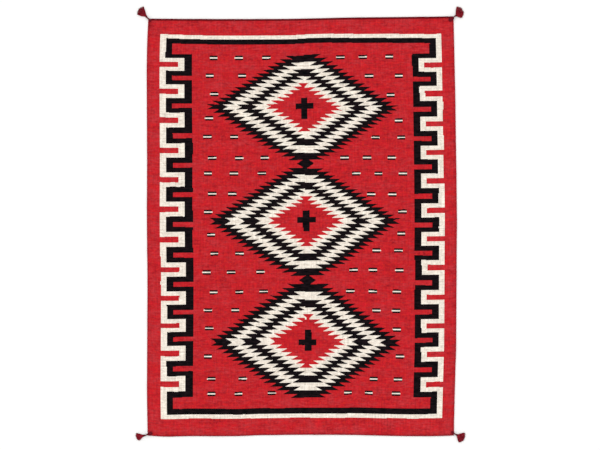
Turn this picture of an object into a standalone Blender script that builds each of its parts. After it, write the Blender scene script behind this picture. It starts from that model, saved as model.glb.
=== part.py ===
"""Flat woven wool rug in the southwest style, with corded edges and corner tassels.

The woven field is one flat slab with the slightly wandering outline of hand
weaving. A twined cord is sewn along each of its four edges. The cords are
tied off in a knot over each corner, and each knot lets out a short twisted
neck of yarn that opens into a flat tassel. Everything lies on the floor
plane, Z = 0, with the rug's width along X and its length along Y.

Sizes below are millimetres. The model is built in metres, +Z up, and its
origin is the middle of the whole rug's footprint, at floor level.
"""

import math
import random
from collections import namedtuple

import bmesh
import bpy
from mathutils import Matrix, Vector

MM = 0.001

# Woven field: the plain rectangle that the outline wanders about, cords included
HALF_WIDTH = 800.0
HALF_LENGTH = 1082.0
CLOTH_THICK = 4.0

# Edge cords: dark ones close the two ends, thinner red ones the two sides
END_CORD_DIAMETER = 5.0
SIDE_CORD_DIAMETER = 4.0
CORD_BEVEL_RESOLUTION = 2
STATIONS_ACROSS = 24
STATIONS_ALONG = 30

# Clearance between pieces that touch on the real rug
GAP = 0.3

# Points closer than this, in metres, are one point
WELD_DISTANCE = 0.00001
TURNED_WELD_DISTANCE = 0.00005

# Each row is a place along an edge, from -1 to 1, and how far the outline lies
# outside the plain rectangle there. Ends run left to right, sides bottom to top.
EdgeRow = namedtuple("EdgeRow", "along out")

TOP_EDGE = (
    EdgeRow(-1.00, -4.6),
    EdgeRow(-0.66, -6.5),
    EdgeRow(-0.19, -6.5),
    EdgeRow(0.04, -4.0),
    EdgeRow(0.28, 0.5),
    EdgeRow(0.82, 5.3),
    EdgeRow(1.00, 7.9),
)
BOTTOM_EDGE = (
    EdgeRow(-1.00, 0.6),
    EdgeRow(-0.89, 6.0),
    EdgeRow(-0.73, 3.7),
    EdgeRow(-0.42, 3.4),
    EdgeRow(-0.27, -1.2),
    EdgeRow(0.04, -3.4),
    EdgeRow(0.35, -2.2),
    EdgeRow(0.67, 3.7),
    EdgeRow(0.90, 3.1),
    EdgeRow(1.00, -0.4),
)
LEFT_EDGE = (
    EdgeRow(-1.00, -1.2),
    EdgeRow(-0.80, 1.9),
    EdgeRow(-0.26, -0.2),
    EdgeRow(0.03, 2.6),
    EdgeRow(0.35, 1.7),
    EdgeRow(0.69, 3.3),
    EdgeRow(0.86, 1.7),
    EdgeRow(1.00, -4.9),
)
RIGHT_EDGE = (
    EdgeRow(-1.00, -11.1),
    EdgeRow(-0.92, -10.7),
    EdgeRow(-0.69, -4.1),
    EdgeRow(-0.57, -0.4),
    EdgeRow(-0.11, 2.6),
    EdgeRow(0.06, 3.6),
    EdgeRow(0.40, -1.2),
    EdgeRow(0.69, -6.2),
    EdgeRow(1.00, -13.7),
)

# Corner knots: ridged lumps of wound cord that sit on the cloth and its end cord
KNOT_MIDDLE_HEIGHT = 8.0
KNOT_HALF_HEIGHT = 4.2
KNOT_RIDGE_DEPTH = 0.11
KNOT_TURN_WIDTH = 5.5
KNOT_POINTS_PER_TURN = 4
KNOT_STEPS = 14

# Tassel necks: two plies twisted together, over the rim and down to the head
NECK_RADIUS = 2.1
NECK_LOBE_DEPTH = 0.14
NECK_SIDES = 10
NECK_RINGS = 9
NECK_TURNS_PER_MM = 0.045

# Tassel heads, and the locks of yarn that fan out of them in layers
HEAD_HALF_SIZES = (8.0, 6.2, 3.3)
HEAD_MIDDLE = 6.5
HEAD_SEGMENTS = (14, 8)
LOCK_LAYERS = 3
LOCK_MAX_WIDTH = 2.6
LOCK_TIP_SCALE = 0.6
LOCK_FILL = 0.78
LOCK_SPREAD = 0.5
LOCK_ROOT_RADIUS = 5.0
LOCK_ROOT_HEIGHT = 2.2
LOCK_ROOT_RISE = 1.1
LOCK_BEND_RADIUS = 12.0
LOCK_BEND_HEIGHT = 1.2
LOCK_BEND_RISE = 1.8
LOCK_FLAT_RADIUS = 22.0
LOCK_TAPER_START = 0.78
LOCK_SWAY = 0.05
LOCK_LENGTH_SWAY = 0.06

# One row for each corner. The knot's middle and the tassel's root are places
# in the plain rectangle's frame, angles are degrees from +X towards +Y, and
# the three reaches are the fan's length at its first, middle and last lock.
Corner = namedtuple(
    "Corner",
    "name knot_x knot_y knot_half_length knot_half_width root_x root_y "
    "fan_from fan_to reach_from reach_middle reach_to locks seed",
)
CORNERS = (
    Corner("top_left", -786.5, 1067.5, 9.5, 7.5, -804.5, 1086.5, 107, 178, 55, 55, 42, 9, 3),
    Corner("top_right", 773.0, 1074.0, 16.5, 12.5, 794.6, 1090.9, -16, 75, 30, 48, 50, 11, 5),
    Corner("bottom_left", -785.5, -1071.0, 14.0, 11.0, -812.0, -1081.0, 166, 220, 47, 47, 41, 8, 7),
    Corner("bottom_right", 781.0, -1066.0, 10.0, 8.5, 798.8, -1077.0, -70, 11, 43, 49, 46, 10, 9),
)

# sRGB colours of the wool
RUG_RED = (0.80, 0.15, 0.17)
SIDE_RED = (0.60, 0.10, 0.14)
MAROON = (0.36, 0.03, 0.08)
WOOL_ROUGHNESS = 0.9
SRGB_GAMMA = 2.2


def clear_scene():
    """Remove whatever the file starts with."""
    for scene_object in list(bpy.data.objects):
        bpy.data.objects.remove(scene_object, do_unlink=True)


def new_collection(name):
    """Make a collection in the scene."""
    collection = bpy.data.collections.new(name)
    bpy.context.scene.collection.children.link(collection)
    return collection


def wool(name, srgb):
    """Make a matt wool material of one colour."""
    material = bpy.data.materials.new(name)
    material.use_nodes = True
    linear = [channel ** SRGB_GAMMA for channel in srgb]
    shader = material.node_tree.nodes["Principled BSDF"]
    shader.inputs["Base Color"].default_value = (*linear, 1.0)
    shader.inputs["Roughness"].default_value = WOOL_ROUGHNESS
    shader.inputs["Metallic"].default_value = 0.0
    return material


def add_object(name, data, collection, parent=None, material=None):
    """Put a mesh or curve into a collection as a named object."""
    new_object = bpy.data.objects.new(name, data)
    collection.objects.link(new_object)
    new_object.parent = parent
    if material is not None:
        data.materials.append(material)
    return new_object


def as_guide(guide):
    """Mark an object as a cutter or joiner that isn't a piece of the rug."""
    guide.hide_render = True
    guide.display_type = "WIRE"
    return guide


def add_boolean(target, operand, operation):
    """Cut or join a piece with another mesh."""
    modifier = target.modifiers.new(operation.lower(), "BOOLEAN")
    modifier.object = operand
    modifier.operation = operation
    modifier.solver = "EXACT"


def curve_to_mesh(curve_object, name, collection, parent):
    """Turn a curve object into a welded mesh guide and remove the curve."""
    graph = bpy.context.evaluated_depsgraph_get()
    mesh = bpy.data.meshes.new_from_object(curve_object.evaluated_get(graph))
    welder = bmesh.new()
    welder.from_mesh(mesh)
    bmesh.ops.remove_doubles(welder, verts=welder.verts, dist=WELD_DISTANCE)
    bmesh.ops.recalc_face_normals(welder, faces=welder.faces)
    welder.to_mesh(mesh)
    welder.free()
    placed = add_object(name, mesh, collection, parent)
    placed.matrix_world = curve_object.matrix_world.copy()
    bpy.data.objects.remove(curve_object, do_unlink=True)
    return as_guide(placed)


def edge_out(rows, along):
    """Read an edge table at a place, on a smooth cubic through its rows."""
    places = [row.along for row in rows]
    outs = [row.out for row in rows]
    last = len(rows) - 1
    index = 0
    while index < last - 1 and along > places[index + 1]:
        index += 1

    def slope(at):
        low = max(at - 1, 0)
        high = min(at + 1, last)
        return (outs[high] - outs[low]) / (places[high] - places[low])

    span = places[index + 1] - places[index]
    t = (along - places[index]) / span
    start_part = (2 * t ** 3 - 3 * t ** 2 + 1) * outs[index]
    end_part = (3 * t ** 2 - 2 * t ** 3) * outs[index + 1]
    start_slope = (t ** 3 - 2 * t ** 2 + t) * span * slope(index)
    end_slope = (t ** 3 - t ** 2) * span * slope(index + 1)
    return start_part + end_part + start_slope + end_slope


def side_x(side, y, inset):
    """Find the right (1) or left (-1) edge's X at a place along it."""
    rows = RIGHT_EDGE if side > 0 else LEFT_EDGE
    along = min(max(y / HALF_LENGTH, -1.0), 1.0)
    return side * (HALF_WIDTH + edge_out(rows, along) - inset)


def end_y(end, x, inset):
    """Find the top (1) or bottom (-1) edge's Y at a place along it."""
    rows = TOP_EDGE if end > 0 else BOTTOM_EDGE
    along = min(max(x / HALF_WIDTH, -1.0), 1.0)
    return end * (HALF_LENGTH + edge_out(rows, along) - inset)


def rim_corner(side, end, inset_side, inset_end):
    """Find a corner of the outline; side and end are -1 or 1, insets go inwards."""
    return side_x(side, end * HALF_LENGTH, inset_side), end_y(end, side * HALF_WIDTH, inset_end)


def end_line(end, inset_side, inset_end):
    """List the points of the top (1) or bottom (-1) edge from left to right."""
    left = rim_corner(-1, end, inset_side, inset_end)[0]
    right = rim_corner(1, end, inset_side, inset_end)[0]
    xs = [left + (right - left) * step / STATIONS_ACROSS for step in range(STATIONS_ACROSS + 1)]
    return [(x, end_y(end, x, inset_end)) for x in xs]


def side_line(side, inset_side, inset_end):
    """List the points of the right (1) or left (-1) edge from bottom to top."""
    bottom = rim_corner(side, -1, inset_side, inset_end)[1]
    top = rim_corner(side, 1, inset_side, inset_end)[1]
    ys = [bottom + (top - bottom) * step / STATIONS_ALONG for step in range(STATIONS_ALONG + 1)]
    return [(side_x(side, y, inset_side), y) for y in ys]


def rim_outline(inset_side, inset_end):
    """List the whole outline's points, counterclockwise from the bottom left."""
    bottom = end_line(-1, inset_side, inset_end)
    right = side_line(1, inset_side, inset_end)
    top = end_line(1, inset_side, inset_end)[::-1]
    left = side_line(-1, inset_side, inset_end)[::-1]
    return bottom[:-1] + right[:-1] + top[:-1] + left[:-1]


def flat_slab(name, outline, low, high, collection, parent, material=None):
    """Make a flat filled outline between two heights."""
    curve = bpy.data.curves.new(name, "CURVE")
    curve.dimensions = "2D"
    curve.fill_mode = "BOTH"
    curve.extrude = (high - low) / 2 * MM
    spline = curve.splines.new("POLY")
    spline.points.add(len(outline) - 1)
    for point, (x, y) in zip(spline.points, outline):
        point.co = (x * MM, y * MM, 0.0, 1.0)
    spline.use_cyclic_u = True
    slab = add_object(name, curve, collection, parent, material)
    slab.location.z = (high + low) / 2 * MM
    return slab


def edge_cord(name, line, diameter, collection, parent, material=None):
    """Make one edge cord, a tube along a line that lies on the floor."""
    curve = bpy.data.curves.new(name, "CURVE")
    curve.dimensions = "3D"
    curve.bevel_depth = diameter / 2 * MM
    curve.bevel_resolution = CORD_BEVEL_RESOLUTION
    curve.use_fill_caps = True
    spline = curve.splines.new("POLY")
    spline.points.add(len(line) - 1)
    for point, (x, y) in zip(spline.points, line):
        point.co = (x * MM, y * MM, 0.0, 1.0)
    cord = add_object(name, curve, collection, parent, material)
    cord.location.z = diameter / 2 * MM
    return cord


def build_edge_cords(collection, parent, end_wool, side_wool):
    """Make the four edge cords. Side cords stop short of the end cords."""
    end_radius = END_CORD_DIAMETER / 2
    side_radius = SIDE_CORD_DIAMETER / 2
    for name, end in (("end_cord_top", 1), ("end_cord_bottom", -1)):
        line = end_line(end, 0.0, end_radius)
        edge_cord(name, line, END_CORD_DIAMETER, collection, parent, end_wool)
    for name, side in (("side_cord_left", -1), ("side_cord_right", 1)):
        line = side_line(side, side_radius, END_CORD_DIAMETER + GAP)
        edge_cord(name, line, SIDE_CORD_DIAMETER, collection, parent, side_wool)


def facing(angle):
    """Turn an upright turned shape on its side, pointing along an angle, X upwards."""
    forward = Vector((math.cos(angle), math.sin(angle), 0.0))
    up = Vector((0.0, 0.0, 1.0))
    across = forward.cross(up)
    return Matrix((up, across, forward)).transposed().to_euler()


def knot_profile(half_length, half_width):
    """List a knot's radius and place along its axis, top to bottom.

    The radius is an ellipse's, swelled by a cosine ridge for each turn of cord.
    """
    count = round(2 * half_length / KNOT_TURN_WIDTH * KNOT_POINTS_PER_TURN)
    points = []
    for index in range(count + 1):
        share = 1 - 2 * index / count
        ellipse = math.sqrt(max(1 - share * share, 0.0))
        turns = share * half_length / KNOT_TURN_WIDTH
        ridge = 1 + KNOT_RIDGE_DEPTH * math.cos(2 * math.pi * turns)
        points.append((half_width * ellipse * ridge, share * half_length))
    return points


def build_knot(corner, angle, seat_cutters, collection, parent, material):
    """Make one corner knot, turned, laid on its side and seated on cloth and cord."""
    mesh = bpy.data.meshes.new("corner_knot_" + corner.name)
    profile = knot_profile(corner.knot_half_length, corner.knot_half_width)
    points = [(radius * MM, 0.0, place * MM) for radius, place in profile]
    edges = [(index, index + 1) for index in range(len(points) - 1)]
    mesh.from_pydata(points, edges, [])
    knot = add_object("corner_knot_" + corner.name, mesh, collection, parent, material)
    screw = knot.modifiers.new("turned", "SCREW")
    screw.steps = KNOT_STEPS
    screw.render_steps = KNOT_STEPS
    screw.use_merge_vertices = True
    screw.merge_threshold = TURNED_WELD_DISTANCE
    knot.location = (corner.knot_x * MM, corner.knot_y * MM, KNOT_MIDDLE_HEIGHT * MM)
    knot.rotation_euler = facing(angle)
    knot.scale = (KNOT_HALF_HEIGHT / corner.knot_half_width, 1.0, 1.0)
    for cutter in seat_cutters:
        add_boolean(knot, cutter, "DIFFERENCE")
    return knot


def build_seat_cutters(collection, parent):
    """Make the knots' seat cutters: the corded cloth, and the taller end cords."""
    top = CLOTH_THICK + GAP
    slab = flat_slab("seat_curve", rim_outline(-GAP, -GAP), -top, top, collection, parent)
    cutters = [curve_to_mesh(slab, "seat_cutter_cloth", collection, parent)]
    for name, end in (("top", 1), ("bottom", -1)):
        line = end_line(end, -GAP, END_CORD_DIAMETER / 2)
        tube = edge_cord("seat_curve_" + name, line, END_CORD_DIAMETER, collection, parent)
        tube.data.bevel_depth += GAP * MM
        cutters.append(curve_to_mesh(tube, "seat_cutter_" + name, collection, parent))
    return cutters


def loft(name, rings, collection, parent):
    """Make a closed tube through rings of points, with a flat cap at each end."""
    sides = len(rings[0])
    points = [point for ring in rings for point in ring]
    faces = []
    for ring in range(len(rings) - 1):
        for side in range(sides):
            here = ring * sides + side
            beside = ring * sides + (side + 1) % sides
            faces.append((here, beside, beside + sides, here + sides))
    faces.append(tuple(reversed(range(sides))))
    faces.append(tuple(range(len(points) - sides, len(points))))
    mesh = bpy.data.meshes.new(name)
    mesh.from_pydata(points, [], faces)
    return as_guide(add_object(name, mesh, collection, parent))


def neck_drop(share):
    """Ease smoothly from 0 to 1, and stay level outside that."""
    share = min(max(share, 0.0), 1.0)
    return share * share * (3 - 2 * share)


def neck_rings(start, end, level):
    """List the rings of a two-ply twisted neck between two points.

    The neck runs level for a share of its way, which takes it over the rim,
    and then eases down. A ring's radius is r * (1 + d * cos(2 * (a - twist))),
    the outline of two plies side by side, and the twist grows evenly.
    """
    run = Vector((end.x - start.x, end.y - start.y, 0.0))
    drop = end.z - start.z
    across = run.cross(Vector((0.0, 0.0, 1.0))).normalized()
    turn = 2 * math.pi * NECK_TURNS_PER_MM * run.length
    half_step = 0.5 / (NECK_RINGS - 1)
    rings = []
    for index in range(NECK_RINGS):
        share = index / (NECK_RINGS - 1)
        before = neck_drop((share - half_step - level) / (1 - level))
        after = neck_drop((share + half_step - level) / (1 - level))
        forward = run * 2 * half_step + Vector((0.0, 0.0, drop * (after - before)))
        up = across.cross(forward).normalized()
        middle = start + run * share
        middle.z = start.z + drop * neck_drop((share - level) / (1 - level))
        ring = []
        for side in range(NECK_SIDES):
            angle = 2 * math.pi * side / NECK_SIDES
            lobe = 1 + NECK_LOBE_DEPTH * math.cos(2 * (angle - turn * share))
            spoke = across * math.cos(angle) + up * math.sin(angle)
            ring.append((middle + spoke * NECK_RADIUS * lobe) * MM)
        rings.append(ring)
    return rings


def rim_clearance(corner, angle):
    """Find how far from the knot's middle the neck has passed over the rim."""
    side = math.copysign(1, corner.knot_x)
    end = math.copysign(1, corner.knot_y)
    rim_x, rim_y = rim_corner(side, end, 0.0, 0.0)
    past_side = (rim_x - corner.knot_x) / math.cos(angle)
    past_end = (rim_y - corner.knot_y) / math.sin(angle)
    return min(past_side, past_end) + NECK_RADIUS * (1 + NECK_LOBE_DEPTH)


def lock_height(radius, spacing):
    """Find the thickness of a lock layer at a distance from the tassel's root."""
    return min(LOCK_MAX_WIDTH, LOCK_FILL * spacing * radius)


def lock_points(corner, angle, spacing, reach, layer):
    """List one lock's points, each with the half size of its square section.

    The lock leaves the head inside it, bends down to its layer and runs flat
    to its tip. The fan is widest near the head and draws in towards the tips.
    """
    middle = math.radians((corner.fan_from + corner.fan_to) / 2)
    taper = LOCK_TAPER_START * reach
    radii = (LOCK_ROOT_RADIUS, LOCK_BEND_RADIUS, LOCK_FLAT_RADIUS, taper, reach)
    points = []
    for index, radius in enumerate(radii):
        turned = middle + (angle - middle) * (1 + LOCK_SPREAD * (1 - radius / reach))
        full = lock_height(radius, spacing)
        half = full / 2
        if index == 0:
            height = LOCK_ROOT_HEIGHT + layer * LOCK_ROOT_RISE
        elif index == 1:
            height = LOCK_BEND_HEIGHT + layer * LOCK_BEND_RISE
        else:
            if index == len(radii) - 1:
                half *= LOCK_TIP_SCALE
            height = half + layer * (full + GAP)
        x = corner.root_x + radius * math.cos(turned)
        y = corner.root_y + radius * math.sin(turned)
        points.append((x, y, height, half))
    return points


def lock_reach(corner, share):
    """Find a lock's length on a parabola through the fan's three reaches."""
    first = corner.reach_from * (1 - share) * (1 - 2 * share)
    middle = corner.reach_middle * 4 * share * (1 - share)
    last = corner.reach_to * share * (2 * share - 1)
    return first + middle + last


def build_locks(corner, collection, parent):
    """Make all the locks of one tassel as a guide mesh of square tapered tubes."""
    chance = random.Random(corner.seed)
    first = math.radians(corner.fan_from)
    last = math.radians(corner.fan_to)
    spacing = (last - first) / (corner.locks - 1)
    curve = bpy.data.curves.new("locks_" + corner.name, "CURVE")
    curve.dimensions = "3D"
    curve.twist_mode = "Z_UP"
    curve.bevel_depth = math.sqrt(2) * MM
    curve.bevel_resolution = 0
    curve.use_fill_caps = True
    for layer in range(LOCK_LAYERS):
        for index in range(corner.locks - layer):
            sway = chance.uniform(-LOCK_SWAY, LOCK_SWAY)
            angle = first + spacing * (index + layer / 2 + sway)
            share = (angle - first) / (last - first)
            reach = lock_reach(corner, share)
            reach *= 1 + chance.uniform(-LOCK_LENGTH_SWAY, LOCK_LENGTH_SWAY)
            points = lock_points(corner, angle, spacing, reach, layer)
            spline = curve.splines.new("POLY")
            spline.points.add(len(points) - 1)
            for point, (x, y, z, half) in zip(spline.points, points):
                point.co = (x * MM, y * MM, z * MM, 1.0)
                point.radius = half
                point.tilt = math.pi / 4
    locks = add_object("locks_curve_" + corner.name, curve, collection, parent)
    return curve_to_mesh(locks, "locks_" + corner.name, collection, parent)


def build_tassel(corner, angle, collection, cutters, parent, material):
    """Make one tassel: a head that joins its twisted neck and its locks."""
    fan = math.radians((corner.fan_from + corner.fan_to) / 2)
    sizes = [half * MM for half in HEAD_HALF_SIZES]
    mesh = bpy.data.meshes.new("tassel_" + corner.name)
    shaper = bmesh.new()
    around, up = HEAD_SEGMENTS
    bmesh.ops.create_uvsphere(shaper, u_segments=around, v_segments=up, radius=1.0)
    bmesh.ops.scale(shaper, vec=sizes, verts=shaper.verts)
    shaper.to_mesh(mesh)
    shaper.free()
    mesh.shade_smooth()
    head = add_object("tassel_" + corner.name, mesh, collection, parent, material)
    head_x = corner.root_x + HEAD_MIDDLE * math.cos(fan)
    head_y = corner.root_y + HEAD_MIDDLE * math.sin(fan)
    head.location = (head_x * MM, head_y * MM, HEAD_HALF_SIZES[2] * MM)
    head.rotation_euler.z = fan

    reach = corner.knot_half_length + GAP
    start_x = corner.knot_x + reach * math.cos(angle)
    start_y = corner.knot_y + reach * math.sin(angle)
    start = Vector((start_x, start_y, KNOT_MIDDLE_HEIGHT))
    end = Vector((head_x, head_y, HEAD_HALF_SIZES[2]))
    run = math.hypot(end.x - start.x, end.y - start.y)
    level = max(rim_clearance(corner, angle) - reach, 0.0) / run
    neck = loft("neck_" + corner.name, neck_rings(start, end, level), cutters, parent)
    add_boolean(head, neck, "UNION")
    add_boolean(head, build_locks(corner, cutters, parent), "UNION")
    return head


def footprint_middle(objects):
    """Find the middle of the built objects' box, seen from above."""
    graph = bpy.context.evaluated_depsgraph_get()
    xs = []
    ys = []
    for piece in objects:
        mesh = bpy.data.meshes.new_from_object(piece.evaluated_get(graph))
        for vertex in mesh.vertices:
            place = piece.matrix_world @ vertex.co
            xs.append(place.x)
            ys.append(place.y)
        bpy.data.meshes.remove(mesh)
    return (min(xs) + max(xs)) / 2, (min(ys) + max(ys)) / 2


def main():
    """Build the whole rug and set its origin under its middle."""
    clear_scene()
    rug = new_collection("southwest_rug")
    cutters = new_collection("southwest_rug_cutters")
    root = bpy.data.objects.new("rug_origin", None)
    rug.objects.link(root)

    field_wool = wool("red_field_wool", RUG_RED)
    side_wool = wool("red_side_cord_wool", SIDE_RED)
    dark_wool = wool("maroon_cord_wool", MAROON)

    inset_side = SIDE_CORD_DIAMETER + GAP
    inset_end = END_CORD_DIAMETER + GAP
    field = rim_outline(inset_side, inset_end)
    flat_slab("rug_weave", field, 0.0, CLOTH_THICK, rug, root, field_wool)
    build_edge_cords(rug, root, dark_wool, side_wool)

    seat_cutters = build_seat_cutters(cutters, root)
    for corner in CORNERS:
        run_x = corner.root_x - corner.knot_x
        run_y = corner.root_y - corner.knot_y
        angle = math.atan2(run_y, run_x)
        build_knot(corner, angle, seat_cutters, rug, root, dark_wool)
        build_tassel(corner, angle, rug, cutters, root, dark_wool)

    bpy.context.view_layer.update()
    pieces = [piece for piece in rug.objects if piece.type != "EMPTY"]
    middle_x, middle_y = footprint_middle(pieces)
    root.location = (-middle_x, -middle_y, 0.0)
    bpy.context.view_layer.update()


main()
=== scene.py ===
"""Looks of a flat hand-woven wool rug in the southwest style, laid on a pale floor.

The woven field, its four edge cords, the wound corner knots and the fanned
tassels each replace their plain solid. Sizes are millimetres in the frame of
the plain rectangle that the rug's outline wanders about, and Ground.metres
turns them into the model's own frame.
"""

import logging
import math
from dataclasses import dataclass, field
from enum import Enum

import bpy
import numpy as np
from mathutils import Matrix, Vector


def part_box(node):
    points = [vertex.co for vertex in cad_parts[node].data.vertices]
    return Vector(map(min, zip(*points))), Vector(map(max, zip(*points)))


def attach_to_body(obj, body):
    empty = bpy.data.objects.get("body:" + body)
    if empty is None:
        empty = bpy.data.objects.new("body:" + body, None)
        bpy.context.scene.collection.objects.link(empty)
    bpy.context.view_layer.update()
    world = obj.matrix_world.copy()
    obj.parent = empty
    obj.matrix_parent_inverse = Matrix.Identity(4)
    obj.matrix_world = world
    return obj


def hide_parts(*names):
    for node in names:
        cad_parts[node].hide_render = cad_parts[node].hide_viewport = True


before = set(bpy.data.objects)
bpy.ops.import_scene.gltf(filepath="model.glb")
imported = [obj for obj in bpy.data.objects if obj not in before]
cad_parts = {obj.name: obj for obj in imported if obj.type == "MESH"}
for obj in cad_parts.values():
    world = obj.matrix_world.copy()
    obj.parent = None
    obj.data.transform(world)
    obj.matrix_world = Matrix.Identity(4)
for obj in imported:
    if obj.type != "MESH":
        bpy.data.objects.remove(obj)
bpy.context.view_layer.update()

MM = 0.001
BODY = "root"
BAKE_MAP = "OFBake"
# Share of a yarn piece's UV map, from the bottom up, that holds its bound parts
BOUND_SHARE = 0.12
# The colour sockets of a Mix node, by number, because their names aren't unique
MIX_LOW, MIX_HIGH, MIX_COLOUR = 6, 7, 2
SHEEN_ROUGHNESS = 0.5
# A lay so long that a section carried along a path isn't twisted
UNTWISTED = 1e6
LOG = logging.getLogger("rug")

Tree = bpy.types.NodeTree
Socket = bpy.types.NodeSocket
Finish = bpy.types.Material
Piece = bpy.types.Object

# Measured on the photo: width of one pixel on the floor, and the photo's frame
PIXEL = 5.18
PHOTO_WIDTH = 600
PHOTO_MIDDLE = (-9.3, 8.3)


class Yarn(Enum):
    """The three wools of the woven field, by the number the pattern gives them."""

    RED = 0.0
    CREAM = 1.0
    BLACK = 2.0


def linear(hex_colour: str) -> tuple[float, float, float, float]:
    """Turn an sRGB hex colour into linear red, green, blue and alpha.

    Args:
        hex_colour: The colour as six hex digits after a hash.

    Returns:
        The linear colour, opaque.
    """
    channels = [int(hex_colour[at:at + 2], 16) / 255 for at in (1, 3, 5)]
    bent = [c / 12.92 if c <= 0.04045 else ((c + 0.055) / 1.055) ** 2.4 for c in channels]
    return (*bent, 1.0)


def add_node(tree: Tree, kind: str, inputs: dict | None = None, **settings) -> bpy.types.Node:
    """Add a node, set its properties, and set or link its inputs.

    Args:
        tree: The node tree.
        kind: The node's type name.
        inputs: A value or a socket to link for each input, by name or number.
        **settings: The node's own properties.

    Returns:
        The new node.
    """
    node = tree.nodes.new(kind)
    for name, value in settings.items():
        setattr(node, name, value)
    for key, value in (inputs or {}).items():
        if isinstance(value, bpy.types.NodeSocket):
            tree.links.new(value, node.inputs[key])
        else:
            node.inputs[key].default_value = value
    return node


def new_finish(name: str, roughness: float, specular: float, sheen: float) -> Finish:
    """Make a node material with its even values on the shader's own sockets.

    Args:
        name: The material's name.
        roughness: Its roughness.
        specular: Its specular level.
        sheen: How much pale halo its loose fibres give.

    Returns:
        The material.
    """
    made = bpy.data.materials.new(name)
    made.use_nodes = True
    sockets = made.node_tree.nodes["Principled BSDF"].inputs
    sockets["Roughness"].default_value = roughness
    sockets["Specular IOR Level"].default_value = specular
    sockets["Sheen Weight"].default_value = sheen
    sockets["Sheen Roughness"].default_value = SHEEN_ROUGHNESS
    return made


def attach(piece: Piece, node: str) -> Piece:
    """Let a piece ride on the rug's one body in place of its solid.

    Args:
        piece: The finished piece.
        node: The CAD node that it replaces.

    Returns:
        The piece.
    """
    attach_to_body(piece, BODY)
    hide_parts(node)
    return piece


def add_steps(tree: Tree, values: dict, steps: tuple) -> None:
    """Add a chain of Math nodes, each row naming a value and how it is worked out.

    A row is the new value's name, the Math operation and what it reads, which
    are names of earlier values or plain numbers. A row with the word PAINT
    lays a yarn's number over an earlier value where its mask is 1.

    Args:
        tree: The node tree.
        values: The named sockets so far, to which the new ones are added.
        steps: The rows.
    """
    for name, operation, *reads in steps:
        sources = [values[read] if isinstance(read, str) else read for read in reads]
        if operation == "PAINT":
            under, yarn, mask = sources
            inputs = {"Factor": mask, "A": under, "B": yarn.value}
            values[name] = add_node(tree, "ShaderNodeMix", inputs).outputs["Result"]
        else:
            inputs = dict(enumerate(sources))
            math_node = add_node(tree, "ShaderNodeMath", inputs, operation=operation)
            values[name] = math_node.outputs["Value"]


@dataclass(frozen=True)
class Ground:
    """The step from the plain rectangle's frame to the model's own frame."""

    shift_x: float
    shift_y: float

    @classmethod
    def from_frame(cls, outline: "Outline") -> "Ground":
        """Find the shift from where the CAD end cord and side cord lie.

        Args:
            outline: The rug's outline in the plain rectangle's frame.

        Returns:
            The ground that fits the loaded frame.
        """
        low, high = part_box("end_cord_top")
        ends = [outline.rim_corner(side, 1, 0.0, 0.0)[0] for side in (-1, 1)]
        shift_x = (low.x + high.x) / 2 / MM - sum(ends) / 2
        low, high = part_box("side_cord_left")
        inset = outline.end_cord + outline.gap
        ends = [outline.rim_corner(-1, end, 0.0, inset)[1] for end in (-1, 1)]
        shift_y = (low.y + high.y) / 2 / MM - sum(ends) / 2
        return cls(shift_x, shift_y)

    def metres(self, points: np.ndarray) -> np.ndarray:
        """Shift points in millimetres and scale them to metres."""
        return (points + np.array((self.shift_x, self.shift_y, 0.0))) * MM


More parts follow.
